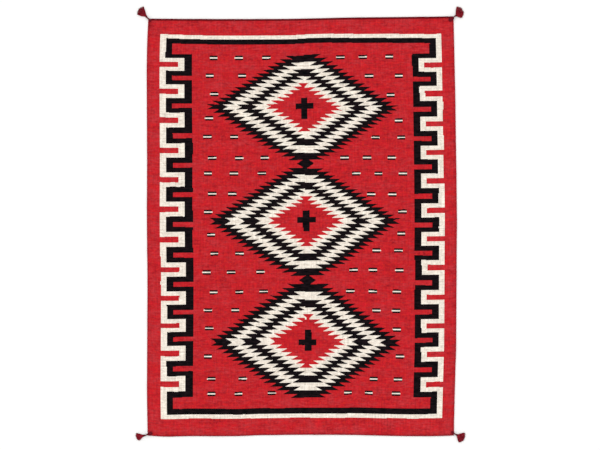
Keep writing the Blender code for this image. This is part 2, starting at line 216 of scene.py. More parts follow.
@dataclass(frozen=True)
class Outline:
    """The rug's outline: a plain rectangle whose edges wander.

    Each row of an edge is a place along it, from -1 to 1, and how far the
    outline lies outside the rectangle there. Ends run left to right and sides
    bottom to top. The line includes the edge cords. A wave is the length of
    an edge's ripples, how far they are turned on the opposite edge, and the
    size and length of the drift that keeps them uneven.
    """

    half_width: float = 800.0
    half_length: float = 1082.0
    end_cord: float = 5.0
    side_cord: float = 4.0
    gap: float = 0.3
    ripple: float = 1.6
    ripple_reach: float = 90.0
    corner_hold: float = 130.0
    side_wave: tuple = (310.0, 1.3, 0.9, 170.0)
    end_wave: tuple = (270.0, 0.7, 0.8, 140.0)
    top: tuple = (
        (-1.00, -4.6), (-0.66, -6.5), (-0.19, -6.5), (0.04, -4.0), (0.28, 0.5),
        (0.82, 5.3), (1.00, 7.9),
    )
    bottom: tuple = (
        (-1.00, 0.6), (-0.89, 6.0), (-0.73, 3.7), (-0.42, 3.4), (-0.27, -1.2),
        (0.04, -3.4), (0.35, -2.2), (0.67, 3.7), (0.90, 3.1), (1.00, -0.4),
    )
    left: tuple = (
        (-1.00, -1.2), (-0.80, 1.9), (-0.26, -0.2), (0.03, 2.6), (0.35, 1.7),
        (0.69, 3.3), (0.86, 1.7), (1.00, -4.9),
    )
    right: tuple = (
        (-1.00, -11.1), (-0.92, -10.7), (-0.69, -4.1), (-0.57, -0.4), (-0.11, 2.6),
        (0.06, 3.6), (0.40, -1.2), (0.69, -6.2), (1.00, -13.7),
    )

    @staticmethod
    def edge_out(rows: tuple, along: np.ndarray) -> np.ndarray:
        """Read an edge at places along it, on a smooth cubic through its rows.

        Between two rows the curve is the Hermite cubic of their values, with
        each slope taken from the rows on either side.

        Args:
            rows: The edge's rows.
            along: Places from -1 to 1.

        Returns:
            How far the outline lies outside the rectangle at each place.
        """
        places, outs = np.array(rows).T
        last = len(places) - 1
        at = np.arange(last + 1)
        high, low = np.minimum(at + 1, last), np.maximum(at - 1, 0)
        slopes = (outs[high] - outs[low]) / (places[high] - places[low])
        along = np.clip(along, -1.0, 1.0)
        index = np.clip(np.searchsorted(places, along, side="right") - 1, 0, last - 1)
        span = places[index + 1] - places[index]
        t = (along - places[index]) / span
        start = (2 * t**3 - 3 * t**2 + 1) * outs[index]
        end = (3 * t**2 - 2 * t**3) * outs[index + 1]
        start_slope = (t**3 - 2 * t**2 + t) * span * slopes[index]
        end_slope = (t**3 - t**2) * span * slopes[index + 1]
        return start + end + start_slope + end_slope

    def side_x(self, side: int, y: np.ndarray, inset: float) -> np.ndarray:
        """Find X on the right (1) or left (-1) edge at places along it."""
        rows = self.right if side > 0 else self.left
        return side * (self.half_width + self.edge_out(rows, y / self.half_length) - inset)

    def end_y(self, end: int, x: np.ndarray, inset: float) -> np.ndarray:
        """Find Y on the top (1) or bottom (-1) edge at places along it."""
        rows = self.top if end > 0 else self.bottom
        return end * (self.half_length + self.edge_out(rows, x / self.half_width) - inset)

    def rim_corner(self, side: int, end: int, inset_side: float, inset_end: float) -> tuple:
        """Find a corner of the outline.

        Args:
            side: 1 for right, -1 for left.
            end: 1 for top, -1 for bottom.
            inset_side: How far in from the side.
            inset_end: How far in from the end.

        Returns:
            The corner's X and Y.
        """
        x = self.side_x(side, np.array(end * self.half_length), inset_side)
        y = self.end_y(end, np.array(side * self.half_width), inset_end)
        return float(x), float(y)

    def lift(self, x: np.ndarray, y: np.ndarray) -> np.ndarray:
        """Find how high the cloth's soft ripples lift it off the floor.

        A ripple runs along each edge, a raised sine of the place along it,
        and dies away inwards as exp(-distance / reach). All fade to nothing
        towards the corners, where the knots hold the cloth down.

        Args:
            x: Places across the rug.
            y: Places along the rug.

        Returns:
            The lift in millimetres, from 0 to 1.6.
        """
        past_side = np.maximum(self.half_width - np.abs(x), 0.0)
        past_end = np.maximum(self.half_length - np.abs(y), 0.0)
        edges = []
        for along, across, past, wave in (
            (y, x, past_side, self.side_wave), (x, y, past_end, self.end_wave),
        ):
            length, turn, drift, drift_length = wave
            swing = 2 * math.pi * along / length + turn * np.sign(across)
            rise = np.clip(np.sin(swing + drift * np.sin(along / drift_length)), 0.0, 1.0)
            edges.append(rise**2 * np.exp(-past / self.ripple_reach))
        held = (past_side / self.corner_hold) ** 2 + (past_end / self.corner_hold) ** 2
        return self.ripple * np.maximum(*edges) * (1 - np.exp(-held))


@dataclass
class Surface:
    """A mesh in the making: points, faces and a UV pair for each face corner."""

    points: np.ndarray
    quads: np.ndarray
    quad_uv: np.ndarray
    triangles: np.ndarray = field(default_factory=lambda: np.zeros((0, 3), int))
    triangle_uv: np.ndarray = field(default_factory=lambda: np.zeros((0, 3, 2)))

    @classmethod
    def joined(cls, surfaces: list["Surface"]) -> "Surface":
        """Join surfaces into one, renumbering their faces.

        Args:
            surfaces: The surfaces, each with its own numbering.

        Returns:
            One surface.
        """
        starts = np.cumsum([0] + [len(part.points) for part in surfaces[:-1]])
        return cls(
            np.concatenate([part.points for part in surfaces]),
            np.concatenate([part.quads + start for part, start in zip(surfaces, starts)]),
            np.concatenate([part.quad_uv for part in surfaces]),
            np.concatenate([part.triangles + start for part, start in zip(surfaces, starts)]),
            np.concatenate([part.triangle_uv for part in surfaces]),
        )

    def mapped(self, low: float, high: float) -> "Surface":
        """Squeeze the UV map between two heights, and give the surface back."""
        for uv in (self.quad_uv, self.triangle_uv):
            uv[..., 1] = low + (high - low) * uv[..., 1]
        return self

    def to_object(self, name: str, ground: Ground, material: Finish) -> Piece:
        """Write the surface into a smooth mesh object at the origin.

        Args:
            name: The object's name.
            ground: The frame to place it in.
            material: Its material.

        Returns:
            The new object.
        """
        mesh = bpy.data.meshes.new(name)
        faces = self.quads.tolist() + self.triangles.tolist()
        mesh.from_pydata(ground.metres(self.points).tolist(), [], faces)
        uv = np.concatenate([self.quad_uv.reshape(-1, 2), self.triangle_uv.reshape(-1, 2)])
        mesh.uv_layers.new(name=BAKE_MAP).uv.foreach_set("vector", uv.astype(np.float32).ravel())
        mesh.shade_smooth()
        mesh.materials.append(material)
        made = bpy.data.objects.new(name, mesh)
        bpy.context.scene.collection.objects.link(made)
        return made


def ply_outline(sides: int, plies: int, fat: float) -> np.ndarray:
    """Work out the outline of a yarn of round plies laid side by side.

    Each ply is a circle of radius fat centred at 1 - fat from the middle, so
    at an angle a from the ply the outline lies at
    c * cos(a) + sqrt(fat**2 - (c * sin(a))**2), where c is 1 - fat.

    Args:
        sides: How many points the outline has.
        plies: How many plies.
        fat: A ply's radius as a share of the yarn's.

    Returns:
        The outline's radius at each point, as a share of the yarn's radius.
    """
    reach = math.pi / plies
    angle = 2 * math.pi * np.arange(sides) / sides
    off = (angle + reach) % (2 * reach) - reach
    centre = 1 - fat
    inside = np.maximum(fat**2 - (centre * np.sin(off)) ** 2, 0.0)
    return centre * np.cos(off) + np.sqrt(inside)


def unit(vectors: np.ndarray) -> np.ndarray:
    """Scale vectors to length 1."""
    return vectors / np.linalg.norm(vectors, axis=-1, keepdims=True)


def direction(angle: float) -> np.ndarray:
    """Give the level unit vector at an angle from +X, in radians."""
    return np.array((math.cos(angle), math.sin(angle)))


def upward(path: np.ndarray) -> np.ndarray:
    """Give the upward direction at every point of a path."""
    return np.broadcast_to(np.array((0.0, 0.0, 1.0)), path.shape)


@dataclass(frozen=True)
class YarnSection:
    """The section of a twisted yarn or cord that is carried along a path."""

    radius: float
    plies: int
    lay: float
    sides: int
    fat: float = 0.52

    def sweep(self, paths: np.ndarray, normals: np.ndarray, scale: np.ndarray) -> Surface:
        """Carry the twisted section along each path and close both ends.

        A point of the section at angle a sits at path + r(a) * scale * (N * cos(w)
        + B * sin(w)), where w = a + 2 * pi * length / lay, so that the grooves
        between the plies run round the yarn as a helix. N is the given normal
        squared up to the path, and B the path's direction times N.

        Args:
            paths: Points in an array of strands, rings and coordinates.
            normals: A direction off the path for each point.
            scale: The share of the full radius at each strand's rings.

        Returns:
            The strands as one surface. Across its UV map lie the strands side
            by side, and along it each strand's length.
        """
        strands, rings, _ = paths.shape
        along = unit(np.gradient(paths, axis=1))
        normal = unit(normals - (normals * along).sum(-1, keepdims=True) * along)
        binormal = np.cross(along, normal)
        steps = np.linalg.norm(np.diff(paths, axis=1), axis=-1)
        length = np.concatenate([np.zeros((strands, 1)), np.cumsum(steps, axis=1)], axis=1)
        angle = 2 * math.pi * (np.arange(self.sides) / self.sides + length[..., None] / self.lay)
        outline = self.radius * ply_outline(self.sides, self.plies, self.fat) * scale[..., None]
        spokes = (
            np.cos(angle)[..., None] * normal[:, :, None, :]
            + np.sin(angle)[..., None] * binormal[:, :, None, :]
        )
        skin = paths[:, :, None, :] + spokes * outline[..., None]
        ends = paths[:, [0, -1], :]
        points = np.concatenate([skin.reshape(strands, -1, 3), ends], axis=1)

        ring, side = np.meshgrid(np.arange(rings - 1), np.arange(self.sides), indexing="ij")
        beside = (side + 1) % self.sides
        here, there = ring * self.sides, (ring + 1) * self.sides
        quads = np.stack([here + side, here + beside, there + beside, there + side], axis=-1)
        across = np.stack([side, side + 1, side + 1, side], axis=-1) / self.sides
        up = np.stack([ring, ring, ring + 1, ring + 1], axis=-1) / (rings - 1)

        edge = np.arange(self.sides)
        turned = (edge + 1) % self.sides
        first = np.full(self.sides, rings * self.sides)
        last_ring = (rings - 1) * self.sides
        start_cap = np.stack([first, turned, edge], axis=-1)
        end_cap = np.stack([first + 1, last_ring + edge, last_ring + turned], axis=-1)
        cap_across = np.stack([edge + 0.5, edge, edge + 1], axis=-1) / self.sides
        cap_up = np.stack([np.zeros_like(cap_across), np.ones_like(cap_across)])

        quads, across, up = quads.reshape(-1, 4), across.reshape(-1, 4), up.reshape(-1, 4)
        caps = np.concatenate([start_cap, end_cap])
        caps_across = np.concatenate([cap_across[:, [0, 2, 1]], cap_across])
        caps_up = cap_up.reshape(-1, 3)
        strand = np.arange(strands)[:, None, None]
        start = strand * points.shape[1]

        def laid(across_part: np.ndarray, up_part: np.ndarray) -> np.ndarray:
            """Put each strand's UV strip beside the others."""
            wide = (strand + across_part) / strands
            return np.stack([wide, np.broadcast_to(up_part, wide.shape)], axis=-1)

        return Surface(
            points.reshape(-1, 3),
            (quads + start).reshape(-1, 4),
            laid(across, up).reshape(-1, 4, 2),
            (caps + start).reshape(-1, 3),
            laid(caps_across, caps_up).reshape(-1, 3, 2),
        )


@dataclass(frozen=True)
class Band:
    """The striped frame of the pattern and its hooked meander.

    The frame is three nested rectangles, each given as left, right, bottom
    and top, and lean is how far it tips over for each millimetre up. A reach
    is the distance out from the middle, left and right. A hook is a cream
    bracket with a red slot open to the border and a black outline, and its
    parts are shares of its pitch. Tops are the Y of each hook's upper side,
    with one more before the first and after the last. Each row of the sag is
    an X, and how far the frame's top and bottom stripes hang too low there.
    """

    cream_edge: tuple = (-730.5, 735.0, -991.0, 996.0)
    black_edge: tuple = (-699.5, 706.0, -969.5, 976.0)
    inner_edge: tuple = (-665.0, 672.0, -939.3, 950.0)
    lean: float = 0.0028
    sag: tuple = (
        (-700.0, -5.0, -1.5), (-560.0, 0.0, -1.7), (-420.0, 1.5, -2.0),
        (-300.0, 2.5, -0.5), (-140.0, 2.4, 2.0), (40.0, -2.0, 0.5),
        (190.0, -0.8, 0.0), (400.0, 2.5, -1.4), (640.0, 5.0, -2.4),
    )
    sag_span: float = 20.0
    hook_black_reach: tuple = (561.5, 581.0)
    hook_cream_reach: tuple = (602.5, 616.0)
    slot_reach: tuple = (635.0, 644.0)
    slot_share: tuple = (0.155, 0.341)
    cream_share: float = 0.485
    black_share: float = 0.675
    outline_share: float = 0.165
    left_tops: tuple = (
        1000, 879, 742, 595, 437, 287, 133, -23, -181, -330, -473, -611, -768, -931,
    )
    right_tops: tuple = (
        1016, 866, 725, 565, 416, 271, 119, -28, -172, -328, -477, -621, -776, -930,
    )


@dataclass(frozen=True)
class Diamond:
    """One serrated diamond, woven by eye and so a little askew.

    Each quarter has the X of its side tip, the Y of its middle row, the Y of
    its end and how far each row of teeth moves in.
    """

    upper_left: tuple
    upper_right: tuple
    lower_left: tuple
    lower_right: tuple


@dataclass(frozen=True)
class Ring:
    """One of a diamond's nested colours.

    Its gain moves its edge inwards, its rows are how many rows of teeth it
    has from the middle row on, and last_in narrows the last of them more.
    """

    yarn: Yarn
    gain: float
    rows: float
    last_in: float = 0.0


@dataclass(frozen=True)
class Teeth:
    """The steps that all the serrated diamonds share.

    A diamond is five nested colours. Each starts a shift further in than the
    one outside it, on the left and on the right, and each row's teeth slant
    inwards from a sharp tip on the side away from the diamond's middle. Dark
    yarn is drawn a few millimetres wide of its place, since pale yarn glows
    over it from afar.
    """

    rows: int = 15
    middle_half: float = 16.0
    slant: float = 36.0
    shifts: tuple = (76.0, 71.8)
    late_row: float = 11.0
    late_step: float = 2.0
    late_step_lower: float = 7.3
    uneven: float = 6.0
    side_key: float = 2.0
    lower_key: float = 40.0
    split_x: float = 15.0
    rings: tuple = (
        Ring(Yarn.BLACK, -3.5, 15.0), Ring(Yarn.CREAM, 3.5, 13.0, 8.0),
        Ring(Yarn.BLACK, -3.5, 11.0), Ring(Yarn.CREAM, 3.5, 9.0), Ring(Yarn.RED, -3.5, 6.0),
    )


@dataclass(frozen=True)
class DashRow:
    """A row of small dashes: its height and their places on each side."""

    left_y: float
    left: tuple
    right_y: float
    right: tuple


@dataclass(frozen=True)
class Pattern:
    """The whole tapestry pattern, charted in millimetres from the rug's middle.

    A red tip is the X and Y of its neck, its half-width at the far end and
    its height, upwards or downwards. Its span is from and to which share of
    that height it is painted. A chart holds places as shares of the chart
    span, and heights and steps of rows as shares of the row span.
    """

    band: Band = Band()
    teeth: Teeth = Teeth()
    diamonds: tuple = (
        Diamond(
            (-471.4, -589.6, -295.7, 28.1), (509.2, -599.4, -298.2, 26.2),
            (-469.4, -596.0, -888.0, 27.9), (510.6, -601.9, -887.0, 25.4),
        ),
        Diamond(
            (-475.6, 35.2, 306.9, 28.3), (503.3, 27.2, 302.0, 27.6),
            (-475.2, 31.7, -255.6, 27.5), (499.2, 29.2, -252.6, 25.2),
        ),
        Diamond(
            (-483.2, 622.6, 888.5, 28.4), (498.5, 610.0, 893.5, 27.7),
            (-481.8, 628.6, 347.0, 27.8), (496.5, 615.5, 347.0, 25.6),
        ),
    )
    lozenges: tuple = ((20.5, 328.5), (29.0, -277.5))
    lozenge_half: tuple = (44.0, 30.0)
    red_tips: tuple = (
        (13.0, 728.0, 26.0, 16.5), (15.0, 514.5, 34.0, -20.5),
        (22.3, 137.8, 34.0, 20.5), (25.4, -81.0, 36.0, -20.5),
        (32.4, -473.2, 30.0, 20.5), (25.0, -712.0, 36.0, -20.0),
    )
    tip_neck: float = 9.0
    tip_span: tuple = (-0.5, 1.0)
    cross_bars: tuple = ((16.0, 614.0), (22.8, 30.0), (33.0, -590.0))
    cross_arms: tuple = ((17.5, 625.5), (24.5, 36.0), (31.5, -600.0))
    cross_bar_half: tuple = (17.0, 55.0)
    cross_arm_half: tuple = (46.0, 15.0)
    dash_half: tuple = (20.6, 11.6)
    dash_core_half: tuple = (21.4, 3.0)
    dashes: tuple = (
        DashRow(879, (-452, -320, -177), 876, (206, 323, 461)),
        DashRow(786, (-472, -304), 778, (353, 508)),
        DashRow(691, (-450,), 680, (464,)),
        DashRow(566, (-476,), 547, (504,)),
        DashRow(470, (-486, -348), 460, (382, 516)),
        DashRow(360, (-463, -324, -191), 355, (221, 337, 465)),
        DashRow(280, (-484, -350, -205), 273, (280, 396, 523)),
        DashRow(174, (-463, -358), 166, (357, 467)),
        DashRow(80, (-483,), 77, (518,)),
        DashRow(-37, (-468,), -36, (512,)),
        DashRow(-134, (-452, -322), -124, (385, 498)),
        DashRow(-231, (-493, -367, -215), -226, (266, 366, 502)),
        DashRow(-334, (-456, -324, -198), -336, (250, 366, 491)),
        DashRow(-428, (-485, -344), -434, (386, 488)),
        DashRow(-521, (-479,), -531, (491,)),
        DashRow(-668, (-483,), -670, (509,)),
        DashRow(-784, (-465, -304), -788, (376, 502)),
        DashRow(-862, (-464, -324, -151), -861, (245, 352, 494)),
    )
    chart_span: float = 2400.0
    row_span: float = 100.0


@dataclass(frozen=True)
class TapestryWool:
    """Finish of the woven field: weft-faced tapestry of hand-dyed wool.

    The weft is beaten down over the warp, so the eye sees matt ribs that run
    the rug's length, each a stack of small yarn beads, with the dye a little
    uneven from skein to skein and no shine. Ribs and beads are drawn a little
    coarser than the finest rugs of this kind, so that they show. A tone is
    the contrast and the offset that it is read with, and the relief is the
    height of a rib in millimetres.
    """

    pattern: Pattern
    field_size: tuple
    rib: float = 4.0
    bead: float = 4.4
    pick: float = 2.2
    red: str = "#bb1f28"
    red_deep: str = "#9e1824"
    red_bright: str = "#ca1d28"
    red_dusty: str = "#bc3339"
    red_warm: str = "#be2620"
    cream: str = "#f3ebde"
    cream_grey: str = "#e7dacb"
    black: str = "#030305"
    black_brown: str = "#1a1014"
    selvage: str = "#6b0812"
    roughness: float = 0.94
    specular: float = 0.06
    sheen: float = 0.02
    wander: float = 5.0
    wander_spreads: tuple = ((0.0021, 0.0062), (0.0055, 0.0024))
    wander_detail: float = 2.0
    wander_roughness: float = 0.5
    # Each unevenness of the dye: its size across and along the rug, and its octaves
    unevenness: tuple = (
        ("skein", (170.0, 30.0), 3.0), ("blotch", (38.0, 26.0), 3.0),
        ("grain", (13.0, 10.0), 2.0), ("dust", (34.0, 8.0), 2.0),
        ("haze", (120.0, 45.0), 2.0), ("rib_streak", (8.0, 90.0), 2.0),
        ("pick_streak", (60.0, 8.0), 2.0),
    )
    # How a dye's share is read from a noise: its contrast and its offset
    deep_read: tuple = (2.6, -0.6)
    bright_read: tuple = (2.8, -1.0)
    haze_read: tuple = (1.8, -1.9)
    dust_contrast: float = 2.2
    warm_read: tuple = (3.0, -1.35)
    wool_read: tuple = (3.0, -1.0)
    # How near the yarn's number has to be to that of a wool
    yarn_reach: float = 0.4
    # The cloth is darker towards all four edges, as exp(-distance / depth)
    edge_darkening_depth: float = 7.0
    edge_darkening_tone: float = -0.3
    rubbed_depth: float = 160.0
    rubbed_share: float = 0.25
    dark_picks: float = 4.0
    dark_start: float = 2.0
    dark_share: float = 0.9
    bled_place: tuple = (-790.0, 1048.0)
    bled_size: tuple = (10.0, 24.0)
    bled_share: float = 0.5
    tone: tuple = (0.5, 0.265)
    # Painted shade in the grooves between the ribs and painted light on their tops: a contrast and an
    # offset that scale the colour by the rib's height
    painted_rib_shade: tuple = (0.5, 0.75)
    fuzz_size: tuple = (1.6, 1.3)
    fuzz_detail: float = 2.0
    fuzz_height: float = 0.35
    bead_floor: float = 0.4
    relief: float = 0.9
    relief_strength: float = 0.8

    def material(self) -> Finish:
        """Make the material.

        Returns:
            The dyed wool with its pattern, unevenness and weave relief.
        """
        made = new_finish("woven_tapestry_wool", self.roughness, self.specular, self.sheen)
        tree = made.node_tree
        shader = tree.nodes["Principled BSDF"]
        values = self.cloth_places(tree)
        self.paint_band(tree, values)
        self.paint_diamonds(tree, values)
        self.paint_small_motifs(tree, values)
        self.paint_dashes(tree, values)
        tree.links.new(self.weave_relief(tree, values), shader.inputs["Normal"])
        tree.links.new(self.dyed_colour(tree, values), shader.inputs["Base Color"])
        return made

    def cloth_places(self, tree: Tree) -> dict:
        """Find each point's place on the cloth, in millimetres from its middle.

        The pattern reads places that are snapped to the warp ribs and weft
        picks, as a tapestry's edges are, and that wander a millimetre or two,
        as hand-beaten rows do.

        Args:
            tree: The node tree.

        Returns:
            Named sockets: the true place, the snapped and wandering place,
            and the yarn number that the painting starts from.
        """
        width, length = self.field_size
        uv = add_node(tree, "ShaderNodeUVMap", uv_map=BAKE_MAP).outputs["UV"]
        corner = (-width / 2, -length / 2, 0.0)
        inputs = {"Vector": uv, "Scale": (width, length, 1.0), "Location": corner}
        place = add_node(tree, "ShaderNodeMapping", inputs).outputs["Vector"]
        parts = add_node(tree, "ShaderNodeSeparateXYZ", {"Vector": place})
        values = {"place": place, "true_x": parts.outputs["X"], "true_y": parts.outputs["Y"]}
        for name, spread in zip(("wander_x", "wander_y"), self.wander_spreads):
            values[name] = self.soft_noise(
                tree, values, spread, self.wander_detail, self.wander_roughness,
            )
        add_steps(tree, values, (
            ("rib_x", "SNAP", "true_x", self.rib),
            ("pick_y", "SNAP", "true_y", self.pick),
            ("off_x", "MULTIPLY_ADD", "wander_x", self.wander, (self.rib - self.wander) / 2),
            ("off_y", "MULTIPLY_ADD", "wander_y", self.wander, (self.pick - self.wander) / 2),
            ("x", "ADD", "rib_x", "off_x"),
            ("y", "ADD", "pick_y", "off_y"),
            ("yarn", "MULTIPLY", "x", 0.0),
            ("is_right", "GREATER_THAN", "x", self.pattern.teeth.split_x),
        ))
        return values

    def chart(
        self, tree: Tree, values: dict, stops: list, interpolation: str, by: str = "chart_y",
    ) -> tuple[Socket, Socket]:
        """Look a charted row up by its height on the rug, or its place across.

        Args:
            tree: The node tree.
            values: The named sockets.
            stops: Pairs of a height and four numbers from 0 to 1, upwards.
            interpolation: LINEAR between rows, or CONSTANT from each row up.
            by: The named share of the chart's span that rows are looked up by.

        Returns:
            The colour and alpha sockets that carry the four numbers.
        """
        span = self.pattern.chart_span
        if "chart_y" not in values:
            add_steps(tree, values, (("chart_y", "MULTIPLY_ADD", "y", 1 / span, 0.5),))
        ramp = add_node(tree, "ShaderNodeValToRGB", {"Fac": values[by]})
        band = ramp.color_ramp
        band.interpolation = interpolation
        while len(band.elements) < len(stops):
            band.elements.new(1.0)
        for element, (height, numbers) in zip(band.elements, stops):
            element.position = height / span + 0.5
            element.color = numbers
        return ramp.outputs["Color"], ramp.outputs["Alpha"]

    def sided_chart(
        self, tree: Tree, values: dict, sides: list, interpolation: str, names: tuple,
    ) -> None:
        """Look a row up in the left side's chart or the right side's.

        Args:
            tree: The node tree.
            values: The named sockets, to which the four numbers are added.
            sides: The stops of the left chart and of the right one.
            interpolation: As for a chart.
            names: The four numbers' names.
        """
        (left, left_last), (right, right_last) = (
            self.chart(tree, values, stops, interpolation) for stops in sides
        )
        side = values["is_right"]
        inputs = {"Factor": side, MIX_LOW: left, MIX_HIGH: right}
        both = add_node(tree, "ShaderNodeMix", inputs, data_type="RGBA").outputs[MIX_COLOUR]
        parts = add_node(tree, "ShaderNodeSeparateColor", {"Color": both})
        inputs = {"Factor": side, "A": left_last, "B": right_last}
        last = add_node(tree, "ShaderNodeMix", inputs).outputs["Result"]
        values.update(zip(names, (*parts.outputs, last)))

    def paint_band(self, tree: Tree, values: dict) -> None:
        """Paint the striped frame and the hooked meander along both sides.

        The stripes are boxes whose height follows the sag. The height is also
        turned into a count of hooks, linear between the charted tops, and its
        fraction says where in a hook a point lies.

        Args:
            tree: The node tree.
            values: The named sockets.
        """
        band, span = self.pattern.band, self.pattern.chart_span
        add_steps(tree, values, (
            ("band_x", "MULTIPLY_ADD", "y", band.lean, "x"),
            ("chart_x", "MULTIPLY_ADD", "x", 1 / span, 0.5),
        ))
        stops = [
            (x, (top / band.sag_span + 0.5, bottom / band.sag_span + 0.5, 0.0, 1.0))
            for x, top, bottom in band.sag
        ]
        sags, _ = self.chart(tree, values, stops, "LINEAR", "chart_x")
        parts = add_node(tree, "ShaderNodeSeparateColor", {"Color": sags})
        values["sag_top"], values["sag_bottom"] = parts.outputs[0], parts.outputs[1]
        add_steps(tree, values, (
            ("upper", "GREATER_THAN", "y", 0.0),
            ("more_top", "SUBTRACT", "sag_top", "sag_bottom"),
            ("sag_share", "MULTIPLY_ADD", "more_top", "upper", "sag_bottom"),
            ("sag", "MULTIPLY_ADD", "sag_share", band.sag_span, -band.sag_span / 2),
            ("band_y", "ADD", "y", "sag"),
        ))
        stripes = (
            ("cream", Yarn.CREAM, band.cream_edge), ("black", Yarn.BLACK, band.black_edge),
            ("inner", Yarn.RED, band.inner_edge),
        )
        for name, yarn, (left, right, bottom, top) in stripes:
            add_steps(tree, values, (
                (name + "_x", "COMPARE", "band_x", (left + right) / 2, (right - left) / 2),
                ("in_y", "COMPARE", "band_y", (bottom + top) / 2, (top - bottom) / 2),
                ("inside", "MULTIPLY", name + "_x", "in_y"),
                ("yarn", "PAINT", "yarn", yarn, "inside"),
            ))
        count = len(band.left_tops)
        sides = []
        for tops in (band.left_tops, band.right_tops):
            stops = [(height, (at / count, 0.0, 0.0, 1.0)) for at, height in enumerate(tops)]
            sides.append(stops[::-1])
        self.sided_chart(tree, values, sides, "LINEAR", ("hook_share", "", "", ""))
        reaches = (
            ("hook_black", band.hook_black_reach),
            ("hook_cream", band.hook_cream_reach),
            ("slot", band.slot_reach),
        )
        add_steps(tree, values, (("q", "ABSOLUTE", "band_x"),))
        for name, (left, right) in reaches:
            add_steps(tree, values, (
                ("reach", "MULTIPLY_ADD", "is_right", right - left, left),
                (name + "_out", "GREATER_THAN", "q", "reach"),
            ))
        slot_middle = sum(band.slot_share) / 2
        slot_half = (band.slot_share[1] - band.slot_share[0]) / 2
        add_steps(tree, values, (
            ("hook", "MULTIPLY_ADD", "hook_share", float(count), -1.0),
            ("in_hook", "FRACT", "hook"),
            ("from_outline", "ADD", "hook", band.outline_share),
            ("in_outline", "FRACT", "from_outline"),
            ("after_first", "GREATER_THAN", "from_outline", 0.0),
            ("before_last", "LESS_THAN", "from_outline", count - 2.0),
            ("hooked", "MULTIPLY", "after_first", "before_last"),
            ("outlined", "LESS_THAN", "in_outline", band.black_share + band.outline_share),
            ("black_block", "MULTIPLY", "hook_black_out", "black_x"),
            ("black_rows", "MULTIPLY", "hooked", "outlined"),
            ("black_hook", "MULTIPLY", "black_block", "black_rows"),
            ("yarn", "PAINT", "yarn", Yarn.BLACK, "black_hook"),
            ("bracket_rows", "LESS_THAN", "in_hook", band.cream_share),
            ("cream_block", "MULTIPLY", "hook_cream_out", "cream_x"),
            ("cream_rows", "MULTIPLY", "hooked", "bracket_rows"),
            ("cream_hook", "MULTIPLY", "cream_block", "cream_rows"),
            ("yarn", "PAINT", "yarn", Yarn.CREAM, "cream_hook"),
            ("slot_rows", "COMPARE", "in_hook", slot_middle, slot_half),
            ("slot_block", "MULTIPLY", "slot_out", "hooked"),
            ("slot", "MULTIPLY", "slot_block", "slot_rows"),
            ("yarn", "PAINT", "yarn", Yarn.RED, "slot"),
        ))

    def diamond_rows(self, side: int) -> list:
        """List the charted numbers of each half diamond on one side, upwards.

        They are the side tip's X and Y, the height of a row of teeth and how
        far each row moves in. A row's height is the distance from the middle
        row's rim to the diamond's end, shared by the other rows.

        Args:
            side: 0 for left, 1 for right.

        Returns:
            Stops for a chart.
        """
        teeth, span, row_span = self.pattern.teeth, self.pattern.chart_span, self.pattern.row_span
        starts = [-span / 2, self.pattern.lozenges[1][1], self.pattern.lozenges[0][1]]
        stops = []
        for start, diamond in zip(starts, self.pattern.diamonds):
            upper = (diamond.upper_left, diamond.upper_right)[side]
            lower = (diamond.lower_left, diamond.lower_right)[side]
            turn = (upper[1] + lower[1]) / 2
            for height, (tip, middle, end, step) in ((start, lower), (turn, upper)):
                row = (abs(end - middle) - teeth.middle_half) / (teeth.rows - 1)
                places = (tip / span + 0.5, middle / span + 0.5)
                stops.append((height, (*places, row / row_span, step / row_span)))
        return stops

    def paint_diamonds(self, tree: Tree, values: dict) -> None:
        """Paint the serrated diamonds, ring by ring from the outside in.

        Row m of teeth is counted from the middle row, and t runs from 0 at a
        row's outer side to 1 at its inner side. Ring k begins
        step * m + slant * t + shift * k inwards of the side tip, and has two
        rows less than the ring outside it. The red middle has one less still,
        because its last row is a tip of its own. Rows past the late row close
        in faster, and each is a few millimetres off by chance.

        Args:
            tree: The node tree.
            values: The named sockets.
        """
        teeth, span, row_span = self.pattern.teeth, self.pattern.chart_span, self.pattern.row_span
        sides = [self.diamond_rows(0), self.diamond_rows(1)]
        self.sided_chart(tree, values, sides, "CONSTANT", ("tip", "middle", "row_part", "step_part"))
        add_steps(tree, values, (
            ("tip_x", "MULTIPLY_ADD", "tip", span, -span / 2),
            ("middle_y", "MULTIPLY_ADD", "middle", span, -span / 2),
            ("row_height", "MULTIPLY", "row_part", row_span),
            ("step", "MULTIPLY", "step_part", row_span),
            ("past_tip", "SUBTRACT", "x", "tip_x"),
            ("way", "MULTIPLY_ADD", "is_right", -2.0, 1.0),
            ("inward", "MULTIPLY", "past_tip", "way"),
            ("above", "SUBTRACT", "y", "middle_y"),
            ("lower", "LESS_THAN", "above", 0.0),
            ("distance", "ABSOLUTE", "above"),
            ("past_middle", "SUBTRACT", "distance", teeth.middle_half),
            ("rows_past", "DIVIDE", "past_middle", "row_height"),
            ("rows_off", "ADD", "rows_past", 1.0),
            ("row", "FLOOR", "rows_off"),
            ("in_row", "FRACT", "rows_off"),
            ("row_key", "MULTIPLY_ADD", "row", teeth.side_key, "is_right"),
            ("half_key", "MULTIPLY_ADD", "lower", teeth.lower_key, "row_key"),
            ("tooth_key", "ADD", "half_key", "middle_y"),
        ))
